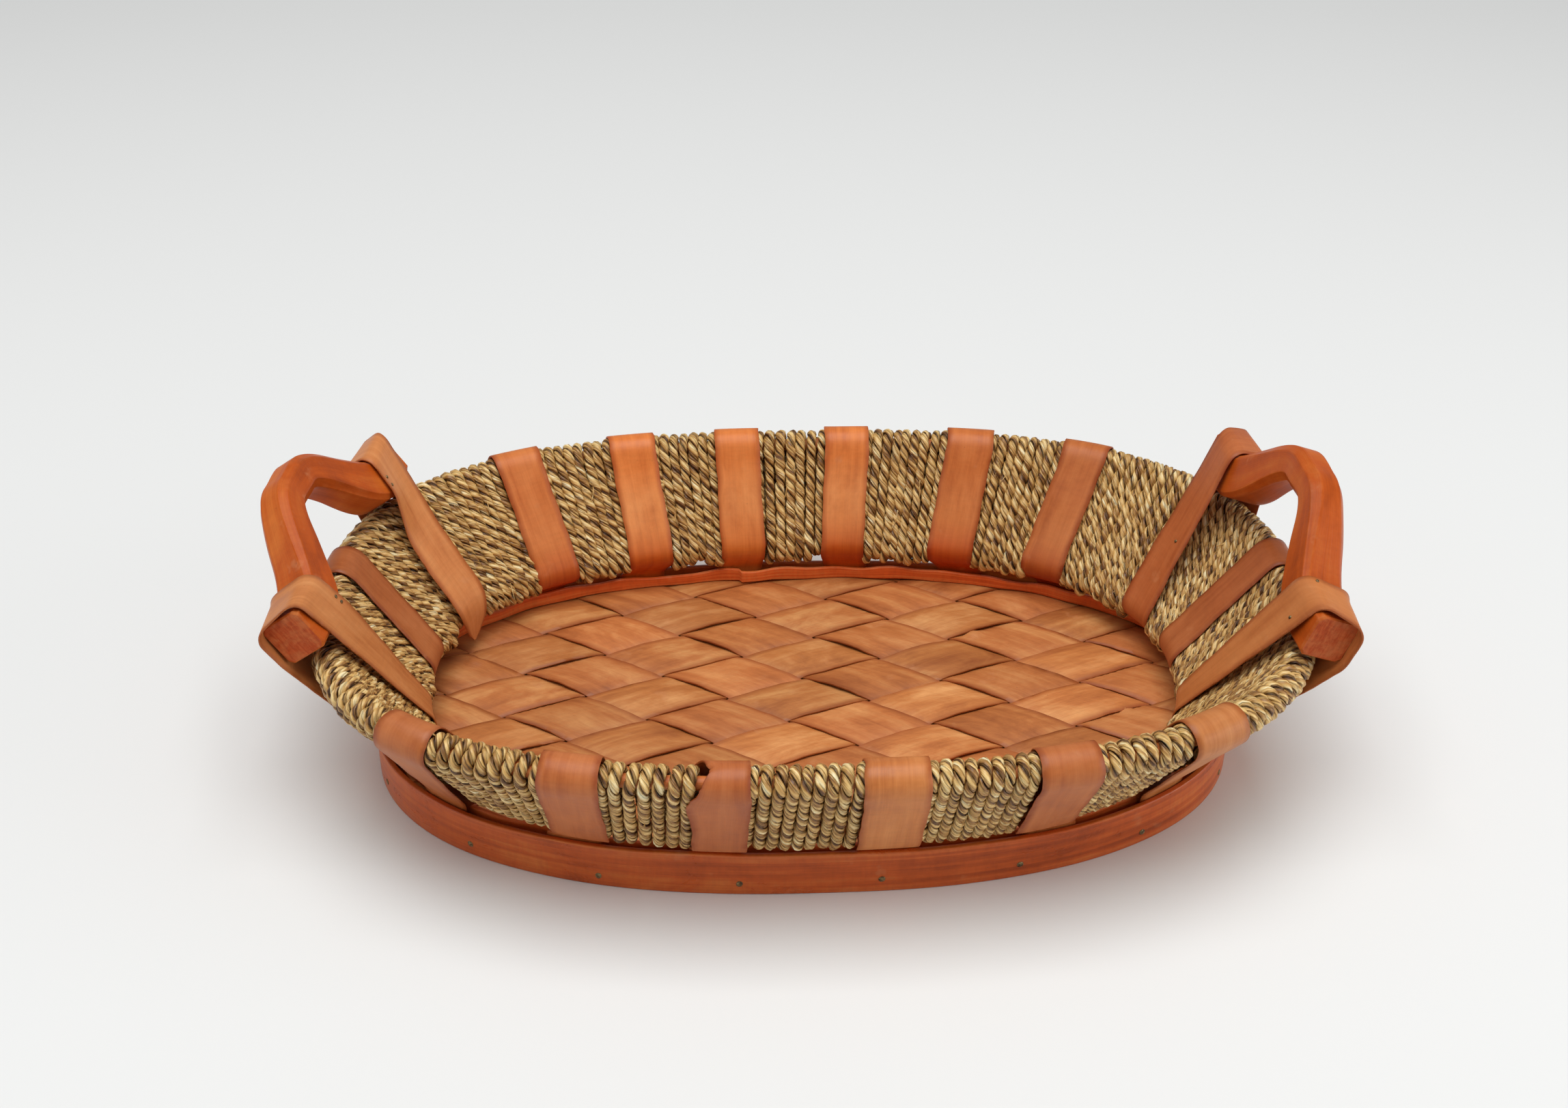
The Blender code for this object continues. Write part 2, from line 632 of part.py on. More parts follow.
def build_wall():
    add_rod_hoop("rim_hoop", RIM_LINE, RIM_HEIGHT, RIM_ROD_RADIUS, ROD_WOOD)
    add_rod_hoop("lower_wall_hoop", LOWER_LINE, LOWER_HEIGHT, LOWER_ROD_RADIUS, ROD_WOOD)
    edges = []
    for name, (share, width_share) in BAND_SHARES.items():
        width = BAND_WIDTH * width_share
        add_belt(name, Belt(share, width).columns(), VENEER_THICKNESS, BAND_VENEER)
        edges.append((share - width / 2 / RIM_LINE.length, share + width / 2 / RIM_LINE.length))
    for k, (_, start_share) in enumerate(edges):
        end_share = edges[k + 1][0] if k + 1 < len(edges) else edges[0][0] + 1
        add_winding(f"cord_winding_{k + 1:02d}", start_share, end_share)


def build_handles():
    """Both handles and their straps; the inner end of one strap is torn off and hangs loose."""
    for side_name, pose in HANDLE_POSES.items():
        handle = Handle(pose)
        add_handle(f"handle_{side_name}", handle)
        for end_name, end in (("near", -1), ("far", 1)):
            belt = Belt(handle.strap_share(end), STRAP_WIDTH, handle, end)
            torn = (side_name, end_name) == TORN_STRAP
            add_belt(f"handle_strap_{side_name}_{end_name}", belt.columns(torn), VENEER_THICKNESS,
                     BAND_VENEER)


def centre_model():
    """Move every piece so that the origin lies below the middle of the whole tray."""
    pieces = [piece for piece in bpy.data.objects if not piece.hide_render and not piece.modifiers]
    for axis in (0, 1):
        spots = [corner[axis] for piece in pieces for corner in piece.bound_box]
        for piece in bpy.data.objects:
            piece.location[axis] -= (min(spots) + max(spots)) / 2


clear_scene()
build_base()
build_floor()
build_wall()
build_handles()
centre_model()
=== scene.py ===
"""Oval serving tray: stained hoops, a woven veneer floor, seagrass cord and two bow handles.

The pieces come in the order in which such a tray is put together, from the base hoop to the brads,
and then the table it stands on, the light and the camera. Lengths are in metres.
"""
import math

import bpy
import numpy as np
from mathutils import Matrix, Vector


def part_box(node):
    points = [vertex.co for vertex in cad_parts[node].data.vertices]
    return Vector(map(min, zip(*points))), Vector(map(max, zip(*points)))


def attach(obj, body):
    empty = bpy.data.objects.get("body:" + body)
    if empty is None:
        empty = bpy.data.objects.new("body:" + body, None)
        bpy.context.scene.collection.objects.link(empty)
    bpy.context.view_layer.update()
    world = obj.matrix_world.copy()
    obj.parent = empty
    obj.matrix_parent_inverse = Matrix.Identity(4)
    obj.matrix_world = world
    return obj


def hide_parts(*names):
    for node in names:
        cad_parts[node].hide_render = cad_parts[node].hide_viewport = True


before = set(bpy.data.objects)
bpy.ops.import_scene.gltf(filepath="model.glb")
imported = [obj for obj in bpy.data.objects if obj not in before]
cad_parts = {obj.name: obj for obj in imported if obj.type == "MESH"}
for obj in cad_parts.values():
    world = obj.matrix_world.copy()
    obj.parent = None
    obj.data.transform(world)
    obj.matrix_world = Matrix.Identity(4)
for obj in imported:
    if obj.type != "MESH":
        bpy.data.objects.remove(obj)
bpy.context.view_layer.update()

# Base hoop. A strip of wood 2.5 mm thick, steamed, bent on edge into an oval and stained red-orange
# under a thin lacquer. The ledge, the floor and the ends of all the veneer bands stand inside it.
BASE_HALF_LENGTH = 0.188
BASE_HALF_WIDTH = 0.1097
BASE_SQUARENESS = 2.33
BASE_HOOP_HEIGHT = 0.0206
BASE_HOOP_THICKNESS = 0.0025
BASE_HOOP_EDGE = 0.0007
BASE_HOOP_WAVE = 0.00012
BASE_TOP_WAVE = 0.00025

base_low, base_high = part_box("base_outer_hoop")
tray_middle = np.array([(base_low.x + base_high.x) / 2, (base_low.y + base_high.y) / 2, 0])
up = np.array([0.0, 0.0, 1.0])


def walk(points):
    """How far along a run of points each of them lies."""
    return np.concatenate(([0], np.cumsum(np.linalg.norm(np.diff(points, axis=0), axis=1))))


def circle(count):
    """Even angles once round."""
    return np.linspace(0, 2 * np.pi, count, endpoint=False)


class HoopLine:
    """A level oval that a hoop is bent to. Shares of its length run from the right end, anticlockwise."""

    steps = 2880

    def __init__(self, half_length, half_width, squareness, shift=0.0):
        turn = np.linspace(0, 2 * np.pi, self.steps + 1)
        power = 2 / squareness
        x = shift + half_length * np.sign(np.cos(turn)) * np.abs(np.cos(turn)) ** power
        y = half_width * np.sign(np.sin(turn)) * np.abs(np.sin(turn)) ** power
        self.line = np.column_stack((x, y, np.zeros_like(x))) + tray_middle
        walked = walk(self.line)
        self.length = walked[-1]
        self.shares = walked / self.length

    def spot(self, shares):
        wrapped = np.mod(shares, 1)
        return np.stack([np.interp(wrapped, self.shares, self.line[:, k]) for k in range(3)], axis=-1)

    def at(self, shares, height=0.0):
        """Points at one height, with the direction of travel and the level outward direction."""
        nudge = 2 / self.steps
        tangent = self.spot(shares + nudge) - self.spot(shares - nudge)
        tangent /= np.linalg.norm(tangent, axis=-1, keepdims=True)
        outward = np.stack((tangent[..., 1], -tangent[..., 0], np.zeros_like(tangent[..., 0])), axis=-1)
        return self.spot(shares) + up * height, tangent, outward


def unit(ways):
    return ways / np.maximum(np.linalg.norm(ways, axis=-1, keepdims=True), 1e-12)


def wobble(places, seed, waves=(2, 5, 9, 16)):
    """Slow unevenness round a hoop, between about -1 and 1, that closes on itself."""
    phases = np.random.default_rng(seed).uniform(0, 2 * np.pi, len(waves))
    return sum(np.sin(2 * np.pi * wave * places + phase) for wave, phase in zip(waves, phases)) / 2.2


def lay_grain(along, across):
    """Grain lengths for a row of rings: along the piece, and across or round it."""
    return np.stack(np.meshgrid(along, across, indexing="ij"), axis=-1)


def skin(rings, grain, closed=False):
    """Faces that close a row of matching rings: points, faces and the grain lengths of their corners."""
    rows, columns = rings.shape[:2]
    row, column = (part.ravel() for part in np.meshgrid(
        np.arange(rows if closed else rows - 1), np.arange(columns), indexing="ij"))
    corner_rows = np.stack((row, row, row + 1, row + 1), axis=1)
    corner_columns = np.stack((column, column + 1, column + 1, column), axis=1)
    sides = corner_rows % rows * columns + corner_columns % columns
    points = rings.reshape(-1, 3)
    a, b, c, d = (points[sides[:, k]] - points.mean(axis=0) for k in range(4))
    if np.sum(np.cross(b - a, c - a) * a) + np.sum(np.cross(c - a, d - a) * a) < 0:
        return skin(np.roll(rings[:, ::-1], 1, axis=1), grain[:, ::-1], closed)
    faces = sides.tolist()
    lengths = grain[corner_rows, corner_columns].reshape(-1, 2)
    if not closed:
        last = (rows - 1) * columns
        faces += [list(range(columns))[::-1], list(range(last, last + columns))]
        lengths = np.concatenate((lengths, grain[0, :columns][::-1], grain[rows - 1, :columns]))
    return points, faces, lengths


def make_bundle(name, skins, sharp=50):
    """One piece of one or more closed skins, with its grain lengths as a UV map."""
    first = np.cumsum([0] + [len(points) for points, _, _ in skins])
    faces = [[corner + start for corner in face]
             for start, (_, sides, _) in zip(first.tolist(), skins) for face in sides]
    mesh = bpy.data.meshes.new(name)
    mesh.from_pydata(np.concatenate([points for points, _, _ in skins]).tolist(), [], faces)
    lengths = np.concatenate([lengths for _, _, lengths in skins])
    mesh.uv_layers.new(name="grain").data.foreach_set("uv", lengths.ravel())
    mesh.shade_smooth()
    mesh.set_sharp_from_angle(angle=math.radians(sharp))
    piece = bpy.data.objects.new(name, mesh)
    bpy.context.collection.objects.link(piece)
    return piece


def make_piece(name, rings, grain, closed=False, sharp=50):
    """One closed piece skinned over a row of rings."""
    return make_bundle(name, [skin(rings, grain, closed)], sharp)


def fit_piece(piece, material, node=None):
    """Finish a piece, let it stand for its solid and ride on the tray."""
    piece.data.materials.append(material)
    if node:
        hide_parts(node)
    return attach(piece, "root")


def rounded_strip(thickness, height, radius, arc_points=4, side_points=3):
    """A strip's section as depth and height, with its four edges rounded, and the lengths round it."""
    arcs = []
    for k, (depth, rise) in enumerate(((0, height), (thickness, height), (thickness, 0), (0, 0))):
        centre = (min(max(depth, radius), thickness - radius), min(max(rise, radius), height - radius))
        start = math.pi - k * math.pi / 2
        for turn in np.linspace(start, start - math.pi / 2, arc_points):
            arcs.append((centre[0] + radius * math.cos(turn), centre[1] + radius * math.sin(turn)))
    section = []
    for a, b in zip(arcs, arcs[1:] + arcs[:1]):
        section.append(a)
        if math.dist(a, b) > 2 * radius:
            section += [tuple(np.array(a) + (np.array(b) - a) * k / (side_points + 1))
                        for k in range(1, side_points + 1)]
    section = np.array(section)
    return section, walk(np.vstack((section, section[:1])))


def strip_hoop(name, inset, bottom, size, bow=np.zeros_like, rise=np.zeros_like):
    """Sweep a strip round the base line; bow moves it inward and rise lifts its top, by share.

    Its size is its thickness, its height and the radius of its edges.
    """
    section, around = rounded_strip(*size)
    count = 840
    shares = np.arange(count) / count
    place, _, outward = base_line.at(shares)
    depth = inset + section[None, :, 0] + bow(shares)[:, None]
    top = section[:, 1].max()
    height = bottom + section[None, :, 1] + rise(shares)[:, None] * (section[None, :, 1] / top)
    rings = place[:, None] - outward[:, None] * depth[..., None] + up * height[..., None]
    grain = lay_grain(np.arange(count + 1) / count * base_line.length, around)
    return make_piece(name, rings, grain, closed=True, sharp=60)


def paint(red, green, blue):
    """A stain mixed as screen values, given to a shader as the linear colour it wants."""
    parts = [part / 255 for part in (red, green, blue)]
    return (*[p / 12.92 if p <= 0.04045 else ((p + 0.055) / 1.055) ** 2.4 for p in parts], 1.0)


def node(tree, kind, sockets=None, **settings):
    """Add a shader node, choose its settings, and fill or link its sockets."""
    made = tree.nodes.new("ShaderNode" + kind)
    for name, value in settings.items():
        setattr(made, name, value)
    for name, value in (sockets or {}).items():
        if isinstance(value, bpy.types.NodeSocket):
            tree.links.new(value, made.inputs[name])
        else:
            made.inputs[name].default_value = value
    return made


def work(tree, operation, first, second=0.0):
    return node(tree, "Math", {0: first, 1: second}, operation=operation).outputs[0]


def times(tree, first, second):
    return work(tree, "MULTIPLY", first, second)


def plus(tree, first, second):
    return work(tree, "ADD", first, second)


def away_from(tree, value, place):
    return work(tree, "ABSOLUTE", work(tree, "SUBTRACT", value, place))


def joined(tree, *lengths):
    """A vector made of one, two or three lengths."""
    return node(tree, "CombineXYZ", dict(enumerate(lengths))).outputs[0]


def blend(tree, share, first, second, how="MIX"):
    mixed = node(tree, "Mix", {0: share, 6: first, 7: second}, data_type="RGBA", blend_type=how)
    return mixed.outputs[2]


def spread(tree, value, low, high, to_low=0.0, to_high=1.0):
    """Stretch a value from one range to another and clip it there."""
    return node(tree, "MapRange", {0: value, 1: low, 2: high, 3: to_low, 4: to_high}).outputs[0]


def shades(tree, value, stops):
    """A ramp of stains, each at its place between 0 and 1."""
    ramp = node(tree, "ValToRGB", {0: value})
    elements = ramp.color_ramp.elements
    while len(elements) < len(stops):
        elements.new(0.5)
    for element, (place, colour) in zip(elements, stops):
        element.position = place
        element.color = colour
    return ramp.outputs[0]


def noise(tree, vector, detail=3.0, roughness=0.5, distortion=0.0):
    made = node(tree, "TexNoise", {"Vector": vector, "Scale": 1.0, "Detail": detail,
                                   "Roughness": roughness, "Distortion": distortion})
    return made.outputs[0]


def new_effect(name, inputs, outputs):
    """A node group with named number inputs and number outputs, and its two ends."""
    tree = bpy.data.node_groups.new(name, "ShaderNodeTree")
    for socket_name, value in inputs.items():
        socket = tree.interface.new_socket(socket_name, in_out="INPUT", socket_type="NodeSocketFloat")
        socket.default_value = value
    for socket_name in outputs:
        tree.interface.new_socket(socket_name, in_out="OUTPUT", socket_type="NodeSocketFloat")
    entry = tree.nodes.new("NodeGroupInput")
    ending = tree.nodes.new("NodeGroupOutput")
    return tree, entry.outputs, ending.inputs


def grain_lengths(tree):
    """The grain lengths of the piece, along and across."""
    lengths = node(tree, "SeparateXYZ", {0: node(tree, "UVMap", uv_map="grain").outputs[0]})
    return lengths.outputs[0], lengths.outputs[1]


def scaled_place(tree, scale, shift=None):
    """Where a point lies on its piece, shifted if asked, and scaled for a noise."""
    place = node(tree, "TexCoord").outputs["Object"]
    if shift is not None:
        place = node(tree, "VectorMath", {0: place, 1: joined(tree, shift)}, operation="ADD").outputs[0]
    return node(tree, "VectorMath", {0: place, 1: (scale,) * 3}, operation="MULTIPLY").outputs[0]


def new_material(name):
    """A material, its nodes and the sockets of its shader."""
    material = bpy.data.materials.new(name)
    material.use_nodes = True
    return material, material.node_tree, material.node_tree.nodes["Principled BSDF"].inputs


tree, given, result = new_effect(
    "wood grain", {"Seed": 0.0, "Streak Length": 0.12, "Streak Width": 0.004},
    ("Streaks", "Fibres", "Clouds", "Chatter"))
wood_grain = tree
along, across = grain_lengths(tree)
lies = {"Clouds": (times(tree, along, 26.0), times(tree, across, 55.0), 23.0, (5.0, 0.66, 0.4)),
        "Chatter": (times(tree, along, 620.0), times(tree, across, 130.0), 31.0, (2.0, 0.5))}
for name, long_share, wide_share, offset, roughening in (
        ("Streaks", 1.0, 1.0, 0.0, (5.0, 0.62, 0.25)), ("Fibres", 0.3, 0.07, 11.0, (3.0, 0.55, 0.25))):
    lies[name] = (work(tree, "DIVIDE", along, times(tree, given["Streak Length"], long_share)),
                  work(tree, "DIVIDE", across, times(tree, given["Streak Width"], wide_share)),
                  offset, roughening)
for name, (lengthwise, crosswise, offset, roughening) in lies.items():
    lie = joined(tree, lengthwise, crosswise, plus(tree, given["Seed"], offset))
    tree.links.new(noise(tree, lie, *roughening), result[name])

# Edges made paler, partly for wear and partly as a painted highlight where the light catches them.
tree, given, result = new_effect("worn and highlit edges", {"Amount": 1.0}, ("Worn And Highlit",))
worn_and_highlit_edges = tree
corner = spread(tree, node(tree, "NewGeometry").outputs["Pointiness"], 0.51, 0.6)
patches = spread(tree, noise(tree, scaled_place(tree, 130.0), 4.0, 0.6), 0.46, 0.66)
tree.links.new(times(tree, times(tree, corner, patches), given["Amount"]), result["Worn And Highlit"])

tree, given, result = new_effect("scuffs and specks", {"Amount": 1.0, "Seed": 0.0}, ("Scuffs", "Specks"))
scuffs = tree
for name, scale, low, high in (("Scuffs", 90.0, 0.64, 0.78), ("Specks", 700.0, 0.7, 0.78)):
    marks = spread(tree, noise(tree, scaled_place(tree, scale, given["Seed"]), 3.0, 0.6), low, high)
    tree.links.new(times(tree, marks, given["Amount"]), result[name])

# Painted highlight: a pale colour laid on the middle of a band for the sheen that the light puts there.
PAINTED_HIGHLIGHT_WOOD = paint(252, 180, 116)
# The tint that a sheet darkens to towards its edges.
EDGE_DARK_TINT = paint(198, 160, 128)
# The paler colour of the edges, for wear and for painted highlight.
WORN_AND_HIGHLIT_WOOD = paint(222, 148, 90)
SCUFFED_WOOD = paint(206, 142, 96)
SPECK_BROWN = paint(92, 44, 24)
EDGE_DARK_MARGIN = 0.0026


def wood(name, stains, seed, streaks=(0.12, 0.004), rough=(0.38, 0.55), rubbed_and_highlit=0.6, scuffed=0.4,
         relief=0.0002, cloud_share=0.5, fibre_share=0.3, sheen=0.35, end_tint=None, painted_highlight=None,
         half_width=None):
    """Stained wood: streaks between the stains, cloudy patches, fine fibres, edges paler from wear and
    painted highlight, scuffs.

    Streaks have a length and a width. Over a given stretch along the grain the colour darkens to a tint,
    and at a given place along the grain a painted highlight makes it paler by some share, standing for
    the sheen that the light puts there. A sheet of some half width is darker towards its edges.
    """
    material, tree, surface = new_material(name)
    surface["Specular IOR Level"].default_value = sheen
    lie = node(tree, "Group", {"Seed": seed, "Streak Length": streaks[0], "Streak Width": streaks[1]},
               node_tree=wood_grain).outputs
    clouds = lie["Clouds"]
    dark, middle, light = stains
    mixed = plus(tree, times(tree, lie["Streaks"], 1 - cloud_share), times(tree, clouds, cloud_share))
    colour = shades(tree, mixed, ((0.32, dark), (0.49, middle), (0.66, light)))
    fibre = times(tree, spread(tree, lie["Fibres"], 0.3, 0.62, 0.6, 1.0),
                  spread(tree, lie["Chatter"], 0.35, 0.6, 0.72, 1.0))
    fibre = node(tree, "CombineColor", {0: fibre, 1: fibre, 2: fibre}).outputs[0]
    colour = blend(tree, fibre_share, colour, fibre, "MULTIPLY")
    # The colour darkens to a tint over a stretch along the grain.
    if end_tint:
        (start, end), tint = end_tint
        tint_place = plus(tree, grain_lengths(tree)[0], spread(tree, clouds, 0.3, 0.7, -0.006, 0.006))
        colour = blend(tree, spread(tree, tint_place, start, end), colour, tint, "MULTIPLY")
    # Painted highlight: paler at one place along the grain, standing for the sheen of the light on a band's
    # middle.
    if painted_highlight:
        place, share = painted_highlight
        highlight_share = times(tree, spread(tree, away_from(tree, grain_lengths(tree)[0], place), 0.004, 0.022,
                                   share, 0.0), spread(tree, clouds, 0.3, 0.6, 0.5, 1.0))
        colour = blend(tree, highlight_share, colour, PAINTED_HIGHLIGHT_WOOD)
    # The sheet is darker towards its edges.
    if half_width:
        from_middle = plus(tree, work(tree, "ABSOLUTE", grain_lengths(tree)[1]),
                           spread(tree, clouds, 0.3, 0.7, -0.0012, 0.0012))
        edge_dark_share = spread(tree, from_middle, half_width - EDGE_DARK_MARGIN, half_width, 0.0, 0.85)
        colour = blend(tree, edge_dark_share, colour, blend(tree, 1.0, colour, EDGE_DARK_TINT, "MULTIPLY"))
    # Edges made paler: partly wear, partly a painted highlight.
    wear_and_highlight = node(tree, "Group", {"Amount": rubbed_and_highlit}, node_tree=worn_and_highlit_edges).outputs[0]
    colour = blend(tree, wear_and_highlight, colour, WORN_AND_HIGHLIT_WOOD)
    marks = node(tree, "Group", {"Amount": scuffed, "Seed": seed}, node_tree=scuffs).outputs
    colour = blend(tree, marks["Scuffs"], colour, SCUFFED_WOOD)
    colour = blend(tree, marks["Specks"], colour, SPECK_BROWN)
    tree.links.new(colour, surface["Base Color"])
    dull = plus(tree, spread(tree, clouds, 0.35, 0.65, *rough), times(tree, marks["Scuffs"], 0.2))
    tree.links.new(dull, surface["Roughness"])
    height = plus(tree, times(tree, lie["Fibres"], 0.6), times(tree, lie["Streaks"], 0.7))
    bump = node(tree, "Bump", {"Height": height, "Strength": 0.5, "Distance": relief})
    tree.links.new(bump.outputs[0], surface["Normal"])
    return material


base_line = HoopLine(BASE_HALF_LENGTH, BASE_HALF_WIDTH, BASE_SQUARENESS)
base_hoop = strip_hoop(
    "base_hoop", 0.0, 0.0, (BASE_HOOP_THICKNESS, BASE_HOOP_HEIGHT, BASE_HOOP_EDGE),
    lambda shares: BASE_HOOP_WAVE * (1 + wobble(shares, 3, (3, 8, 15))),
    lambda shares: BASE_TOP_WAVE * (wobble(shares, 4) - 1))
hoop_stains = (paint(148, 58, 14), paint(200, 88, 28), paint(224, 128, 58))
fit_piece(base_hoop, wood("base_hoop_stain", hoop_stains, 1.7, streaks=(0.22, 0.0045), rough=(0.26, 0.42),
                          rubbed_and_highlit=0.4, scuffed=0.3, cloud_share=0.4), "base_outer_hoop")

# Ledge hoop. A thicker strip of paler wood nailed inside the base, which carries the floor. Only its
# lower edge and inner face show, when the tray is turned over.
SLOT_WIDTH = 0.0031
LEDGE_THICKNESS = 0.004
LEDGE_LIFT = 0.0015
LEDGE_TOP = 0.0116
LEDGE_EDGE = 0.0006
core_inset = BASE_HOOP_THICKNESS + SLOT_WIDTH
ledge_hoop = strip_hoop("ledge_hoop", core_inset, LEDGE_LIFT,
                        (LEDGE_THICKNESS, LEDGE_TOP - LEDGE_LIFT, LEDGE_EDGE))
ledge_stains = (paint(146, 70, 34), paint(190, 104, 58), paint(214, 138, 84))
fit_piece(ledge_hoop, wood("ledge_stain", ledge_stains, 5.2, streaks=(0.15, 0.004), rough=(0.5, 0.65)),
          "base_ledge_hoop")

# Woven floor. Eighteen strips of veneer peeled to 0.8 mm, woven damp one over and one under on a
# skewed lattice, so that each crossing dries into a low pillow. Their ends lie on the ledge.
STRIP_THICKNESS = 0.0008
RISING_STEP = np.array([0.0352, 0.0142, 0.0])
FALLING_STEP = np.array([0.0279, -0.01805, 0.0])
FLOOR_START = np.array([-0.0031, 0.0043, 0.0])
STRIP_GAP = 0.0016
SHORTEST_STRIP = 0.03
WEAVE_RISE = 0.0008
PILLOW_RISE = 0.0011
EDGE_LIFT = 0.0013
RAGGED_EDGE = 0.00022
TEAR_REACH = 0.0035
TEAR_LIFT = 0.0016
FLOOR_PLAY = 0.0003
WEAVE_HALF_DEPTH = 0.00095
CROSSINGS_EACH_WAY = 12
STRIP_ROW = 0.0016
floor_middle = LEDGE_TOP + FLOOR_PLAY + WEAVE_HALF_DEPTH


def veneer(name, middles, grain, thickness, sharp=60):
    """Thicken the middle surface of a sheet, given as rows of points, and round off its edges."""
    along_way = np.gradient(middles, axis=0)
    across_way = np.gradient(middles, axis=1)
    facing = unit(np.cross(along_way, across_way))
    lift = facing * thickness / 2
    edge_out = unit(across_way) * thickness * 0.3
    rings = np.concatenate((middles + lift, middles[:, -1:] + edge_out[:, -1:],
                            (middles - lift)[:, ::-1], middles[:, :1] - edge_out[:, :1]), axis=1)
    lengths = np.concatenate((grain, grain[:, -1:], grain[:, ::-1], grain[:, :1], grain[:, :1]), axis=1)
    return make_piece(name, rings, lengths, sharp=sharp), facing


def inside_share(points):
    """How far out a floor point is: 1 where the base slot begins."""
    away = np.abs(points - tray_middle)
    reach = ((away[..., 0] / (BASE_HALF_LENGTH - core_inset)) ** BASE_SQUARENESS
             + (away[..., 1] / (BASE_HALF_WIDTH - core_inset)) ** BASE_SQUARENESS)
    return reach ** (1 / BASE_SQUARENESS)


strip_stains = {
    "rising": (paint(156, 84, 40), paint(198, 122, 64), paint(230, 166, 102)),
    "falling": (paint(150, 80, 38), paint(192, 114, 60), paint(218, 150, 90)),
}
# Tears in the strips' edges: the family, the place and the depth.
FLOOR_TEARS = (("rising", 0.0318, -0.0055, 0.0034), ("falling", 0.1448, -0.0070, 0.004),
               ("falling", -0.1458, 0.0377, 0.003), ("rising", -0.062, -0.048, 0.002),
               ("falling", 0.085, 0.052, 0.0022))
rng = np.random.default_rng(7)
for family, step, cross, over in (("rising", RISING_STEP, FALLING_STEP, 1),
                                  ("falling", FALLING_STEP, RISING_STEP, -1)):
    step_length = np.linalg.norm(step)
    spacing = np.linalg.norm(np.cross(step, cross)) / step_length
    half_share = 0.5 - STRIP_GAP / 2 / spacing
    normal = np.array([-step[1], step[0], 0]) / step_length
    sign = 1 if cross @ normal > 0 else -1
    reach = math.hypot(normal[0] * (BASE_HALF_LENGTH - core_inset),
                       normal[1] * (BASE_HALF_WIDTH - core_inset))
    first = math.ceil((-reach - FLOOR_START @ normal) / spacing)
    last = math.floor((reach - FLOOR_START @ normal) / spacing)
    number = 0
    for row in range(first, last + 1):
        index = row * sign
        start = FLOOR_START + tray_middle + cross * index
        knots = np.arange(-CROSSINGS_EACH_WAY, CROSSINGS_EACH_WAY + 1)
        inside = knots[inside_share(start + step * knots[:, None]) < 1]
        if (len(inside) - 1) * step_length < SHORTEST_STRIP:
            continue
        number += 1
        runs = np.linspace(-CROSSINGS_EACH_WAY, CROSSINGS_EACH_WAY, 4801)

        def held_run(side):
            held = runs[inside_share(start + cross * side + step * runs[:, None]) < 0.997]
            return (held[0], held[-1]) if len(held) > 2 else (0.0, 0.0)

        tries = np.linspace(-half_share, half_share, 81)
        held = [side for side in tries if np.ptp(held_run(side)) * step_length > 0.008]
        sides = np.linspace(held[0], held[-1], 11)
        ends = np.array([held_run(side) for side in sides])
        count = int((ends[:, 1] - ends[:, 0]).max() * step_length / STRIP_ROW)
        part = np.linspace(0, 1, count)[:, None]
        run = ends[None, :, 0] * (1 - part) + ends[None, :, 1] * part
        ragged = np.stack([wobble(run[:, k] / 25, 40 + index + 7 * over + k // 6, (9, 23, 41, 77))
                           for k in (0, -1)], axis=1) * RAGGED_EDGE / spacing
        lean = np.linspace(0, 1, len(sides))[None]
        slip = ragged[:, :1] * (1 - lean) + ragged[:, 1:] * lean
        torn_up = np.zeros_like(run)
        for torn_family, x, y, depth in FLOOR_TEARS:
            if torn_family != family:
                continue
            laid = start + cross * sides[None, :, None] + step * run[..., None] - (x, y, 0)
            near = np.exp(-(np.linalg.norm(laid[..., :2], axis=-1) / TEAR_REACH) ** 4)
            slip = slip + (near[:, :1] * (1 - lean) ** 2 - near[:, -1:] * lean ** 2) * depth / spacing
            torn_up += near * TEAR_LIFT
        wave = np.cos(np.pi * run) * (1 if index % 2 == 0 else -1) * over
        wave = np.sign(wave) * np.abs(wave) ** 0.55
        width_share = (sides / half_share)[None]
        rise = wave * WEAVE_RISE + np.clip(wave, 0, 1) * PILLOW_RISE * (1 - width_share ** 2) + torn_up
        cell = np.round(run).astype(int) + 20
        lifts = rng.uniform(0, 1, (60, 2)) ** 2.2 * EDGE_LIFT
        rise += np.clip(wave, 0, 1) ** 2 * (lifts[cell, 0] * np.clip(-width_share, 0, 1) ** 3
                                            + lifts[cell, 1] * np.clip(width_share, 0, 1) ** 3)
        middles = start + cross * (sides[None, :, None] + slip[..., None]) + step * run[..., None]
        settled = np.clip((1 - inside_share(middles)) / 0.09, 0, 1)
        middles = middles + up * (floor_middle + rise * (0.6 + 0.4 * settled))[..., None]
        grain = np.stack((run * step_length + number, np.broadcast_to(sides * spacing, run.shape)), axis=-1)
        strip, _ = veneer(f"floor_{family}_{number}", middles, grain, STRIP_THICKNESS)
        tone = rng.uniform(0.8, 1.1)
        stains = [tuple(np.array(stain) * (tone, tone * rng.uniform(0.97, 1.03), tone, 1))
                  for stain in strip_stains[family]]
        fit_piece(strip, wood(f"floor_{family}_veneer_{number}", stains, number * 3.1 + over,
                              streaks=(0.1, 0.007), rough=(0.42, 0.6), rubbed_and_highlit=0.25, scuffed=0.35,
                              relief=0.00015, cloud_share=0.65, fibre_share=0.22,
                              half_width=half_share * spacing),
                  f"floor_strip_{family}_{number}")

# Retaining strip. A thin slat bent round inside the hoop on top of the floor to hold it down, nailed
# by eye, so that it dips, bulges and stands off the hoop from nail to nail.
RETAINER_THICKNESS = 0.0019
RETAINER_BOTTOM = 0.0146
RETAINER_TOP = 0.0204
RETAINER_EDGE = 0.00055
RETAINER_GAP = 0.0006
RETAINER_DIP = 0.0009
RETAINER_LAP = 0.277
LAP_LENGTH_SHARE = 0.016


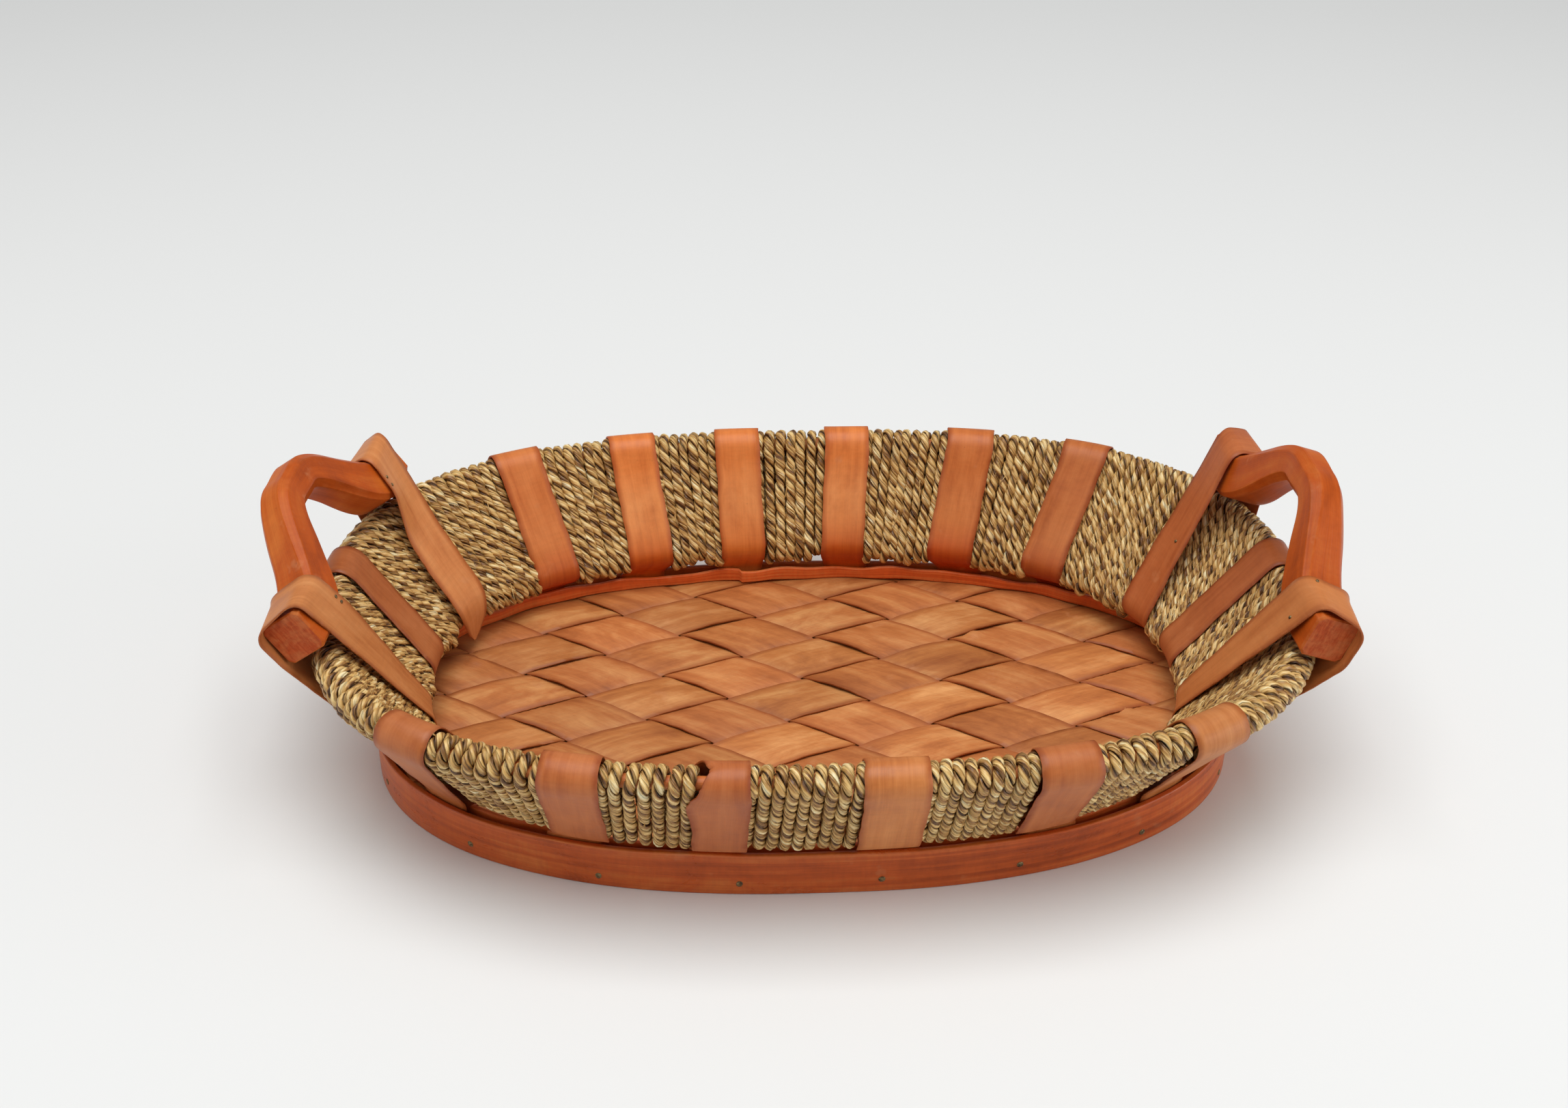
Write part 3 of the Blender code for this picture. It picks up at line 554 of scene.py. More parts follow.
def lapped(shares):
    """How far the strip stands off the hoop; its last end rides up over its first end at the lap."""
    riding = np.clip((shares - RETAINER_LAP) / LAP_LENGTH_SHARE + 1, 0, 1) * (shares < RETAINER_LAP)
    return RETAINER_GAP * (1.1 + wobble(shares, 8, (7, 13, 19, 31))) + 1.1 * RETAINER_THICKNESS * riding


retaining_strip = strip_hoop(
    "retaining_strip", core_inset, RETAINER_BOTTOM,
    (RETAINER_THICKNESS, RETAINER_TOP - RETAINER_BOTTOM, RETAINER_EDGE),
    lapped, lambda shares: RETAINER_DIP * wobble(shares, 9, (6, 11, 23, 37)))
retainer_stains = (paint(192, 74, 26), paint(232, 104, 42), paint(244, 140, 72))
fit_piece(retaining_strip, wood("retaining_strip_stain", retainer_stains, 8.8, streaks=(0.1, 0.0016),
                                rough=(0.34, 0.5), rubbed_and_highlit=0.7, scuffed=0.5, relief=0.0003,
                                cloud_share=0.35), "base_retaining_strip")

# Wall rods. Two round rods bent to ovals, a thicker one for the rim and one near the floor. They are
# stained orange and show only where the cord has slipped apart.
RIM_HALF_LENGTH = 0.2045
RIM_HALF_WIDTH = 0.130
RIM_SQUARENESS = 2.65
RIM_HEIGHT = 0.0739
RIM_SHIFT = 0.0034
LOWER_HALF_LENGTH = 0.171
LOWER_HALF_WIDTH = 0.108
LOWER_SQUARENESS = 2.4
LOWER_HEIGHT = 0.0321
RIM_ROD_RADIUS = 0.0028
LOWER_ROD_RADIUS = 0.0026

rim_line = HoopLine(RIM_HALF_LENGTH, RIM_HALF_WIDTH, RIM_SQUARENESS, RIM_SHIFT)
lower_line = HoopLine(LOWER_HALF_LENGTH, LOWER_HALF_WIDTH, LOWER_SQUARENESS)
rod_stains = (paint(176, 84, 34), paint(222, 124, 60), paint(240, 158, 92))
for name, line, height, radius in (("rim_hoop", rim_line, RIM_HEIGHT, RIM_ROD_RADIUS),
                                   ("lower_wall_hoop", lower_line, LOWER_HEIGHT, LOWER_ROD_RADIUS)):
    shares = np.arange(360) / 360
    place, _, outward = line.at(shares, height)
    turns = circle(16)
    rings = place[:, None] + radius * (outward[:, None] * np.cos(turns)[None, :, None]
                                       + up * np.sin(turns)[None, :, None])
    grain = lay_grain(np.arange(361) / 360 * line.length, np.arange(17) / 16 * 2 * np.pi * radius)
    rod = make_piece(f"{name}_rod", rings, grain, closed=True)
    fit_piece(rod, wood(f"{name}_stain", rod_stains, 12 + height, streaks=(0.1, 0.003)), name)

# Cord. Two plies of dried seagrass laid up into a cord about 4.8 mm thick, wound round both rods from
# band to band. It is pulled by hand, so turns crowd, part and wander, and blades of each ply differ.
CORD_SAG = 0.0032
CORD_BITE = 0.0001
CORD_WANDER_SHARE = 0.06
BACK_SPREAD_SHARE = 0.0085
FRONT_SPREAD_SHARE = 0.0185
CORD_RADIUS = 0.0024
CORD_LAY = 0.0118
# Places on the rim where a handle's strap will cross, and how near to one the cord is drawn tight.
CORD_TIGHT_SHARES = np.array([0.056, 0.434, 0.537, 0.951])
CORD_TIGHT_REACH = 0.013
CORD_TIGHT_SAG = 0.0002
RUN_LEAN = 0.2
CORD_TUCK = 0.0014
CORD_STEP = 0.0014
BEND_ROWS = 24
PLY_SIDES = 12
PLY_OFFSET_SHARE = 0.51
PLY_DEPTH_SHARE = 0.52
PLY_WIDTH_SHARE = 0.74


def foot_shares(shares):
    """Where on the lower hoops the wall stands below places on the rim."""
    turn = 2 * np.pi * shares
    spread_share = np.where(np.mod(shares, 1) < 0.5, BACK_SPREAD_SHARE, FRONT_SPREAD_SHARE)
    return shares - spread_share * np.sin(2 * turn) - RIM_SHIFT / rim_line.length * np.sin(turn)


class Wall:
    """The wall cut across at shares of the rim, slipped sideways by lengths that all hoops share."""

    def __init__(self, shares, slips=0.0):
        shares = np.asarray(shares, float)
        self.rim = rim_line.at(shares + slips / rim_line.length, RIM_HEIGHT)
        foot = foot_shares(shares)
        self.low = lower_line.at(foot + slips / lower_line.length, LOWER_HEIGHT)
        self.base_shares = foot + slips / base_line.length
        self.along = unit(self.rim[0] - self.low[0])

    def round(self, hoop, radius, angle):
        """Points at an angle round one rod: 0 is outward and a right angle is up the wall."""
        place, tangent, _ = hoop
        rise = unit(self.along - tangent * np.sum(self.along * tangent, axis=-1, keepdims=True))
        out = np.cross(tangent, rise)
        angle = np.asarray(angle)[..., None]
        return place + (out * np.cos(angle) + rise * np.sin(angle)) * radius


def even_run(points, count=None, step=None):
    """The same run of points at even distances, and how far along each lies."""
    walked = walk(points)
    count = count or int(walked[-1] / step)
    wanted = np.linspace(0, walked[-1], count)
    return np.stack([np.interp(wanted, walked, points[:, k]) for k in range(3)], axis=1), wanted


def smooth(points, times):
    """Ease the corners of a run of points and leave its ends."""
    points = points.copy()
    for _ in range(times):
        points[1:-1] = points[1:-1] * 0.5 + (points[:-2] + points[2:]) * 0.25
    return points


def cord_run(start_share, end_share, turns, seed):
    """The middle line of one winding: under the lower rod, up outside, over the rim, down inside."""
    draw = np.random.default_rng(seed)
    pitch = (end_share - start_share) / turns
    wander = draw.normal(0, CORD_WANDER_SHARE, 2 * turns + 1)
    sags = np.clip(draw.normal(CORD_SAG, CORD_SAG / 4, turns + 1), 0, 1.6 * CORD_SAG)
    loops = np.mod(start_share + pitch * np.arange(turns + 1), 1)
    crossed = np.abs(loops[:, None] - CORD_TIGHT_SHARES).min(axis=1) < CORD_TIGHT_REACH
    sags = np.where(crossed, CORD_TIGHT_SAG, sags)
    sags[[0, -1]] = 0
    bend = np.linspace(-RUN_LEAN, RUN_LEAN, BEND_ROWS)

    def wall_at(turns_done):
        """The wall at the places that the cord has come to, round by round."""
        drift = np.interp(2 * turns_done + 1, np.arange(len(wander)), wander)
        return Wall(start_share + pitch * (turns_done + 0.5 + drift))

    run = []
    for turn in range(turns + 1):
        wall = wall_at(turn - 0.5 + bend)
        first = 300 if turn == 0 else 190
        last = 240 if turn == turns else 350
        angles = np.radians(np.linspace(first, last, BEND_ROWS))
        loop = wall.round(wall.low, LOWER_ROD_RADIUS + CORD_RADIUS - CORD_BITE, angles)
        run.append(loop - wall.along * (sags[turn] * np.abs(np.sin(angles)))[:, None])
        if turn < turns:
            wall = wall_at(turn + bend)
            angles = np.radians(np.linspace(-10, 190, BEND_ROWS))
            run.append(wall.round(wall.rim, RIM_ROD_RADIUS + CORD_RADIUS - CORD_BITE, angles))
    run, _ = even_run(np.concatenate(run), step=CORD_STEP)
    return smooth(run, 3)


def hand_made(distance, spacing, amount, draw):
    """Slow chance changes along a length, by about the amount given."""
    knots = np.linspace(0, distance[-1], int(distance[-1] / spacing) + 3)
    return np.interp(distance, knots, draw.normal(0, amount, len(knots)))


def lay_up(run, seed):
    """Two plies twisted round the middle line; rings of points, and lengths for the grain."""
    draw = np.random.default_rng(seed)
    way = unit(np.gradient(run, axis=0))
    side = rim_way(run)
    side = unit(side - way * np.sum(side * way, axis=1, keepdims=True))
    normal = np.cross(side, way)
    count = len(run)
    distance = np.arange(count) * CORD_STEP
    twist = hand_made(distance, 0.016, 0.45, draw) - 2 * np.pi * distance / CORD_LAY + draw.uniform(0, 6)
    plies = []
    for ply in range(2):
        turn = twist + np.pi * ply
        fat = 1 + np.clip(hand_made(distance, 0.008, 0.1, draw), -0.16, 0.14)
        out = normal * np.cos(turn)[:, None] + side * np.sin(turn)[:, None]
        middle = run + out * (CORD_RADIUS * PLY_OFFSET_SHARE * fat)[:, None]
        ply_way = unit(np.gradient(middle, axis=0))
        across_ply = np.cross(ply_way, out)
        angles = circle(PLY_SIDES)
        blades = 1 + 0.08 * np.cos(3 * angles[None] + distance[:, None] * 260 + ply)
        radial = CORD_RADIUS * PLY_DEPTH_SHARE * fat[:, None] * blades
        level = CORD_RADIUS * PLY_WIDTH_SHARE * fat[:, None] * blades
        rings = (middle[:, None] + out[:, None] * (radial * np.cos(angles))[..., None]
                 + across_ply[:, None] * (level * np.sin(angles))[..., None])
        grain = lay_grain(distance + 20 * ply + seed, np.arange(PLY_SIDES + 1) / PLY_SIDES)
        plies.append((rings, grain))
    return plies


def rim_turn(points):
    """The turn round the tray at which each point lies, in the rim's proportions."""
    away = points - tray_middle
    return np.arctan2(away[:, 1] * RIM_HALF_LENGTH, away[:, 0] * RIM_HALF_WIDTH)


even_turns = np.linspace(0, 2 * np.pi, 721)
turn_shares = np.interp(even_turns, np.unwrap(rim_turn(rim_line.line)), rim_line.shares)


def rim_way(points):
    """The direction of travel of the rim beside each point."""
    return rim_line.at(np.interp(np.mod(rim_turn(points), 2 * np.pi), even_turns, turn_shares))[1]


seagrass, tree, surface = new_material("seagrass")
along, around = grain_lengths(tree)
blades = noise(tree, joined(tree, times(tree, along, 60.0), plus(
    tree, times(tree, around, 5.0), times(tree, along, 90.0))), 2.0, 0.5)
lie = plus(tree, times(tree, around, 4.0), times(tree, along, -60.0))
lie = work(tree, "FRACT", plus(tree, lie, times(tree, blades, 1.4)))
strand = times(tree, away_from(tree, lie, 0.5), 2.0)
length_tone = noise(tree, joined(tree, times(tree, along, 130.0), times(tree, around, 2.0)), 2.0, 0.5)
tone = plus(tree, times(tree, blades, 0.45), times(tree, length_tone, 0.55))
from_core = away_from(tree, work(tree, "FRACT", around), 0.5)
# Painted highlight and shade: each ply is lighter on its outer crest and darker on the side that turns into
# the cord.
tone = plus(tree, tone, spread(tree, from_core, 0.25, 0.5, -0.04, 0.03))
grass = shades(tree, tone, ((0.37, paint(108, 70, 34)), (0.44, paint(166, 120, 64)),
                            (0.5, paint(212, 168, 98)), (0.57, paint(242, 208, 140)),
                            (0.66, paint(255, 246, 204))))
turn_tone = spread(tree, noise(tree, joined(tree, times(tree, along, 9.0)), 2.0), 0.42, 0.66, 0.0, 0.5)
grass = blend(tree, turn_tone, grass, paint(186, 160, 112), "MULTIPLY")
# Painted shade: dark brown laid into the crease between the plies and into the grooves between strands.
crease_shade = blend(tree, 1.0, grass, paint(66, 42, 24), "MULTIPLY")
unshaded_share = times(tree, spread(tree, from_core, 0.14, 0.31), spread(tree, strand, 0.84, 0.99, 1.0, 0.7))
tree.links.new(blend(tree, unshaded_share, crease_shade, grass), surface["Base Color"])
tree.links.new(spread(tree, blades, 0.3, 0.7, 0.46, 0.3), surface["Roughness"])
ridges = work(tree, "SUBTRACT", blades, work(tree, "POWER", strand, 3.0))
ridges = node(tree, "Bump", {"Height": ridges, "Strength": 0.9, "Distance": 0.0006})
tree.links.new(ridges.outputs[0], surface["Normal"])

BAND_WIDTH = 0.0245
# The bands' places on the rim, their widths, and the turns of cord from each band to the next.
BANDS = {
    "end_right": (0.0110, 0.86, 25), "back_6": (0.1247, 0.88, 8), "back_5": (0.1752, 0.9, 9),
    "back_4": (0.2291, 0.84, 7), "back_3": (0.2770, 0.86, 7), "back_2": (0.3227, 0.88, 8),
    "back_1": (0.3731, 0.9, 23), "end_left": (0.4815, 0.84, 25), "front_6": (0.6010, 0.94, 9),
    "front_5": (0.6617, 0.93, 7), "front_4": (0.7128, 0.86, 9), "front_3": (0.7715, 1, 9),
    "front_2": (0.8302, 0.97, 8), "front_1": (0.8864, 1, 25),
}
band_rows = list(BANDS.items())
cord_runs = []
for k, (name, (share, width_share, turns)) in enumerate(band_rows):
    next_share, next_width, _ = band_rows[(k + 1) % len(band_rows)][1]
    next_share += 1 if k == len(band_rows) - 1 else 0
    begin = share + (BAND_WIDTH * width_share / 2 - CORD_TUCK) / rim_line.length
    finish = next_share - (BAND_WIDTH * next_width / 2 - CORD_TUCK) / rim_line.length
    run = cord_run(begin, finish, turns, 300 + k)
    cord_runs.append(run)
    for letter, (rings, grain) in zip("ab", lay_up(run, 500 + k)):
        ply = make_piece(f"cord_{k + 1:02d}_ply_{letter}", rings, grain, sharp=120)
        fit_piece(ply, seagrass, f"cord_winding_{k + 1:02d}")

STRAW_RADIUS = 0.0007


def straw(run, start, length, stray, seed):
    """A loose fibre that leaves the cord at a place on its run and tapers as it strays from it."""
    draw = np.random.default_rng(seed)
    row = min(int(start * len(run)), len(run) - 12)
    way = unit(run[row + 8] - run[row])
    out = unit(run[row] - (run[max(row - 12, 0)] + run[min(row + 12, len(run) - 1)]) / 2)
    side = np.cross(way, out)
    part = np.linspace(0, 1, 14)[:, None]
    bend = out * stray + side * draw.normal(0, stray * 0.7)
    line = run[row] + out * CORD_RADIUS * 0.8 + way * length * part + bend * part ** 2
    turns = circle(6)
    thick = STRAW_RADIUS * np.sqrt(np.clip(1.04 - part, 0.02, 1))
    rings = line[:, None] + thick[..., None] * (out * np.cos(turns)[None, :, None]
                                                + side * 0.5 * np.sin(turns)[None, :, None])
    return skin(rings, lay_grain(part[:, 0] * length + seed * 0.37, np.linspace(-0.1, 0.1, 7)))


# The longer loose fibres: the winding, the place on its run, the length and how far it strays.
LONG_STRAWS = {1: ((0.0447, 0.014, 0.005), (0.752, 0.007, 0.003)), 7: ((0.2125, 0.009, 0.004),),
               14: ((0.691, 0.008, 0.004),)}
for k, run in enumerate(cord_runs):
    draw = np.random.default_rng(900 + k)
    count = len(run) // 140 + 2
    straws = [straw(run, draw.uniform(0.03, 0.97), draw.uniform(0.005, 0.010), draw.uniform(0.001, 0.003),
                    1000 + 50 * k + number) for number in range(count)]
    straws += [straw(run, *loose, 2000 + number) for number, loose in enumerate(LONG_STRAWS.get(k + 1, ()))]
    fit_piece(make_bundle(f"cord_{k + 1:02d}_loose_straws", straws, sharp=120), seagrass,
              f"cord_winding_{k + 1:02d}")

# Veneer bands. Peeled strips 0.8 mm thick, bent damp over the rim and down both sides of the wall,
# with both ends clamped behind the base hoop. Each is a separate offcut with its own stain, and the
# front bands' colours are darker partly as painted shade.
VENEER_THICKNESS = 0.0008
BAND_END_HEIGHT = 0.0095
BAND_BEND_LIFT = 0.0012
SLOT_PLAY = 0.0005
ROD_POINTS = 60
EDGE_WAVE = 0.0003
EDGE_NICK = 0.00008
SHEET_SWELL = 0.00012
SHEET_CURL = 0.0002
CALM_END = 0.02
# How many rows past its crest a torn belt hangs free, and how often that part is smoothed.
FREE_ROW = 26
FREE_SMOOTHING = 24
cord_face = 2 * CORD_RADIUS + 0.0004
rim_belt = RIM_ROD_RADIUS + cord_face + VENEER_THICKNESS / 2
lower_belt = LOWER_ROD_RADIUS + cord_face + VENEER_THICKNESS / 2


def outline(places):
    """The indices of the level places that a taut belt touches, anticlockwise."""
    order = sorted(range(len(places)), key=lambda i: tuple(places[i]))

    def half(row):
        kept = []
        for i in row:
            while len(kept) > 1:
                (ax, ay), (bx, by), (cx, cy) = places[kept[-2]], places[kept[-1]], places[i]
                if (bx - ax) * (cy - ay) - (by - ay) * (cx - ax) > 0:
                    break
                kept.pop()
            kept.append(i)
        return kept[:-1]

    return half(order) + half(order[::-1])


def slot_place(wall, row, height):
    """A place in the base slot: row 0 holds the outer ends of the bands and row 1 the inner ends."""
    place, _, outward = base_line.at(wall.base_shares, height)
    inset = BASE_HOOP_THICKNESS + SLOT_PLAY + VENEER_THICKNESS / 2
    return place - outward * (inset + row * (SLOT_PLAY + VENEER_THICKNESS))


def taut_run(share, slip, handle=None, loose=None):
    """A belt's line at one slip: out of the slot, over rim and foot and back, or to a loose end."""
    wall = Wall(share, slip)
    angles = np.radians(np.arange(0, 360, 360 // ROD_POINTS))
    rim = wall.round(wall.rim, rim_belt, angles)
    low = wall.round(wall.low, lower_belt, angles)
    slots = [slot_place(wall, row, BASE_HOOP_HEIGHT + BAND_BEND_LIFT) for row in (0, 1)]
    points = np.vstack([slots, rim, low])
    if handle:
        place, way, _ = wall.rim
        corners = handle.ring((place - handle.centre) @ way / (handle.chord @ way), FOOT_EASE)
        points = np.vstack((points, corners - way * ((corners - place) @ way)[:, None]))
    away = points - wall.low[0]
    touched = outline([tuple(place) for place in np.column_stack((away @ wall.low[2], away[:, 2]))])
    start = touched.index(0)
    touched = touched[start:] + touched[:start]
    finish = slot_place(wall, 1, BAND_END_HEIGHT)
    if loose is not None:
        finish = loose
        while touched[-1] < 2 or 2 + ROD_POINTS <= touched[-1] < 2 + 2 * ROD_POINTS:
            touched.pop()
    return np.vstack((slot_place(wall, 0, BAND_END_HEIGHT), points[touched], finish))


def belt_sheet(name, share, width, seed, rows=150, handle=None, loose_at=None, tears=(), lifts=(),
               easing=4):
    """A veneer belt as a thick sheet: uneven edges, slightly wavy, torn and lifted where asked."""
    sides = np.linspace(-0.5, 0.5, 9)
    columns = []
    for side in sides:
        slip = side * width
        run, walked = even_run(taut_run(share, slip, handle, loose_at(slip) if loose_at else None), rows)
        run = smooth(run, easing)
        if loose_at:
            free = np.argmax(run[:, 2]) + FREE_ROW
            run[free:] = smooth(run[free:], FREE_SMOOTHING)
        columns.append(run)
    length = walked[-1]
    middles = np.stack(columns, axis=1)
    distance = np.linspace(0, length, rows)
    across_way = unit(np.gradient(middles, axis=1))
    part = distance / length
    edge = np.stack([wobble(part, seed + k, (2, 5, 11)) * EDGE_WAVE
                     + wobble(part, seed + k + 3, (23, 37)) * EDGE_NICK for k in (0, 1)], axis=1)
    crest = distance[np.argmax(middles[:, 4, 2])]
    for column, begin, deepest, finish, depth in tears:
        cut = np.interp(distance - crest, (begin, deepest, finish), (0, depth, 0))
        edge[:, column] += cut * (1 + 0.08 * wobble(part, seed + 9, (40, 63, 90))) * (-1 if column else 1)
    lean = (sides + 0.5)[None, :, None]
    shift = edge[:, None, :1] * (1 - lean) ** 3 + edge[:, None, 1:] * lean ** 3
    middles = middles + across_way * shift
    facing = unit(np.cross(np.gradient(middles, axis=0), across_way))
    calm = np.clip(np.minimum(distance, length - distance) / CALM_END, 0, 1)[:, None]
    curl = SHEET_CURL * (2 * np.abs(sides[None])) ** 3 * wobble(part, seed + 6, (2, 5))[:, None]
    swell = (wobble(part, seed + 5, (3, 8))[:, None] * SHEET_SWELL + curl) * calm
    for column, begin, highest, finish, height in lifts:
        raised = np.interp(distance - crest, (begin, highest, finish), (0, height, 0))[:, None]
        swell = swell + raised * np.abs(sides[None] + 0.5 - (1 - column)) ** 5
    middles = middles + facing * swell[..., None]
    grain = lay_grain(distance + seed, np.append(sides * width, 0)[:len(sides)])
    piece, facing = veneer(name, middles, grain, VENEER_THICKNESS)
    return piece, middles, facing, seed + length


# The front bands' colours are set darker partly as painted shade, for the front of the wall that faces away
# from the light.
band_stains_and_shade = {
    "end_right": (172, 92, 46), "back_6": (190, 104, 46), "back_5": (204, 112, 50),
    "back_4": (222, 124, 56), "back_3": (220, 122, 54), "back_2": (226, 126, 56),
    "back_1": (208, 116, 54), "end_left": (174, 98, 52), "front_6": (180, 100, 50),
    "front_5": (188, 104, 52), "front_4": (184, 100, 50), "front_3": (204, 124, 64),
    "front_2": (184, 102, 50), "front_1": (192, 118, 62),
}
# The tint each band darkens to towards its inner end, and the share of the painted highlight that stands
# for the sheen on its middle.
BAND_END_TINTS = {"back_1": (232, 150, 60), "back_3": (250, 236, 214), "back_5": (232, 160, 84),
              "back_6": (216, 138, 50)}
BAND_PAINTED_HIGHLIGHTS = {"back_2": 0.5, "back_3": 0.4, "back_4": 0.5, "back_5": 0.16}
# Tears in the edges: 0 for the first edge and 1 for the other, then where each starts, is deepest and
# ends, measured over the rim from its crest, and its depth.
BAND_TEARS = {
    "front_4": ((0, -0.018, -0.0006, 0.011, 0.0068), (0, -0.045, -0.022, -0.014, -0.0022)),
    "front_3": ((0, -0.004, 0.0, 0.003, 0.0007),),
    "back_1": ((1, 0.052, 0.056, 0.06, 0.0008),),
}
BAND_LIFTS = {
    "front_4": ((0, -0.003, 0.0006, 0.005, 0.0022), (0, -0.024, -0.017, -0.01, 0.0012)),
    "front_5": ((0, -0.02, -0.008, 0.004, 0.001),),
    "front_6": ((1, -0.016, -0.006, 0.006, 0.001),),
    "back_1": ((1, 0.04, 0.054, 0.066, 0.0014),),
    "back_6": ((1, 0.03, 0.05, 0.062, 0.001),),
}
# How far above the inner end the darker tint starts and is deepest, and where the painted highlight lies.
END_TINT_START = 0.044
END_TINT_DEEPEST = 0.022
PAINTED_HIGHLIGHT_HEIGHT = 0.048


def stain_range(colour, darker, lighter):
    """A stain between a darker and a lighter one, given by their shares of its red, green and blue."""
    return [paint(*np.minimum(np.multiply(colour, shares), 255)) for shares in (darker, 1, lighter)]


for k, (name, (share, width_share, _)) in enumerate(band_rows):
    width = BAND_WIDTH * width_share
    band, _, _, inner_end = belt_sheet(f"band_{name}_veneer", share, width, 60 + 9 * k,
                                       tears=BAND_TEARS.get(name, ()), lifts=BAND_LIFTS.get(name, ()))
    stains = stain_range(band_stains_and_shade[name], (0.87, 0.78, 0.68), (1.07, 1.14, 1.26))
    # Each band darkens to a tint towards its inner end, and a painted highlight on its middle stands for
    # the sheen of the light.
    end_tint = ((inner_end - END_TINT_START, inner_end - END_TINT_DEEPEST),
            paint(*BAND_END_TINTS.get(name, (224, 174, 112))))
    fit_piece(band, wood(f"band_{name}_stain", stains, 2.3 * k + 0.4, streaks=(0.08, 0.003),
                         rough=(0.36, 0.52), rubbed_and_highlit=0.3, scuffed=0.3, relief=0.00015, cloud_share=0.6,
                         fibre_share=0.2, end_tint=end_tint, half_width=width / 2,
                         painted_highlight=(inner_end - PAINTED_HIGHLIGHT_HEIGHT, BAND_PAINTED_HIGHLIGHTS.get(name, 0.08))),
              f"band_{name}")

# Bow handles. Each is carved from one stick: square feet that lie along the rim, and a thinner grip
# that bows up and leans out. The edges are eased with a knife, and the stain is redder than the bands.
HANDLE_HALF_LENGTH = 0.0715
HANDLE_FOOT_END = 0.0515
HANDLE_GRIP_END = 0.007
HANDLE_RISE = 0.0326
FOOT_SIDE = 0.0195
GRIP_SIDE = 0.0155
HANDLE_CHAMFER = 0.0022
END_BEVEL_DEPTH = 0.0007
END_BEVEL_LENGTH = 0.0006


class BowHandle:
    """A carved bow: its chord lies along the rim at one end of the tray."""

    def __init__(self, side, shift, inset, lean, turn, tilt, solid):
        lean, turn, tilt = (math.radians(angle) for angle in (lean, turn, tilt))
        self.side = side
        self.chord = np.array([math.sin(turn), math.cos(turn) * math.cos(tilt), math.sin(tilt)])
        rise = np.array([side * math.sin(lean), 0, math.cos(lean)])
        self.rise = unit(rise - self.chord * (rise @ self.chord))
        self.face = np.cross(self.rise, self.chord) * side
        place = (RIM_SHIFT + side * (RIM_HALF_LENGTH - inset), shift, RIM_HEIGHT)
        self.centre = tray_middle + np.array(place)
        spans = np.linspace(-HANDLE_HALF_LENGTH, HANDLE_HALF_LENGTH, 60)
        top = max(self.ring(span)[:, 2].max() for span in spans)
        self.centre = self.centre + up * (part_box(solid)[1].z - top)

    def bow(self, span):
        """How high the middle line runs above the feet, and half the stick's side."""
        bend = min(max((HANDLE_FOOT_END - abs(span)) / (HANDLE_FOOT_END - HANDLE_GRIP_END), 0), 1)
        ease = bend * bend * (3 - 2 * bend)
        return HANDLE_RISE * ease, (FOOT_SIDE + (GRIP_SIDE - FOOT_SIDE) * ease) / 2

    def middle(self, span):
        return self.centre + self.chord * span + self.rise * self.bow(span)[0]

    def axes(self, span):
        way = unit(self.middle(span + 2e-5) - self.middle(span - 2e-5))
        across = unit(np.cross(way, self.face))
        return across if across @ self.rise > 0 else -across

    def ring(self, span, grow=0.0):
        """The eight corners of the chamfered section."""
        half = self.bow(span)[1] + grow
        inner = half - HANDLE_CHAMFER - grow * (1 - math.tan(math.pi / 8))
        pairs = ((half, inner), (inner, half), (-inner, half), (-half, inner),
                 (-half, -inner), (-inner, -half), (inner, -half), (half, -inner))
        across = self.axes(span)
        return np.array([self.middle(span) + across * a + self.face * b for a, b in pairs])

    def carved_ring(self, span, shrink=0.0):
        """The section with knife-cut corners whose edges are eased, and flat faces between them."""
        half = self.bow(span)[1] - shrink
        half *= 1 + 0.010 * math.sin(span * 190 + self.side) + 0.006 * math.sin(span * 410)
        grip = (FOOT_SIDE / 2 - self.bow(span)[1]) / (FOOT_SIDE - GRIP_SIDE) * 2
        cut = HANDLE_CHAMFER * (0.92 + 0.55 * grip + 0.08 * math.sin(span * 75 + 2 * self.side))
        ease = 0.0004
        corner = [(half, half - cut - 2 * ease), (half, half - cut - ease / 2),
                  (half - ease / 3, half - cut + ease / 2), (half - cut / 2, half - cut / 2),
                  (half - cut + ease / 2, half - ease / 3), (half - cut - ease / 2, half),
                  (half - cut - 2 * ease, half), (0.0, half)]
        middle, across = self.middle(span), self.axes(span)
        ring = []
        for quarter in range(4):
            cos, sin = round(math.cos(quarter * math.pi / 2)), round(math.sin(quarter * math.pi / 2))
            ring += [middle + across * (a * cos - b * sin) + self.face * (a * sin + b * cos)
                     for a, b in corner]
        return np.array(ring)


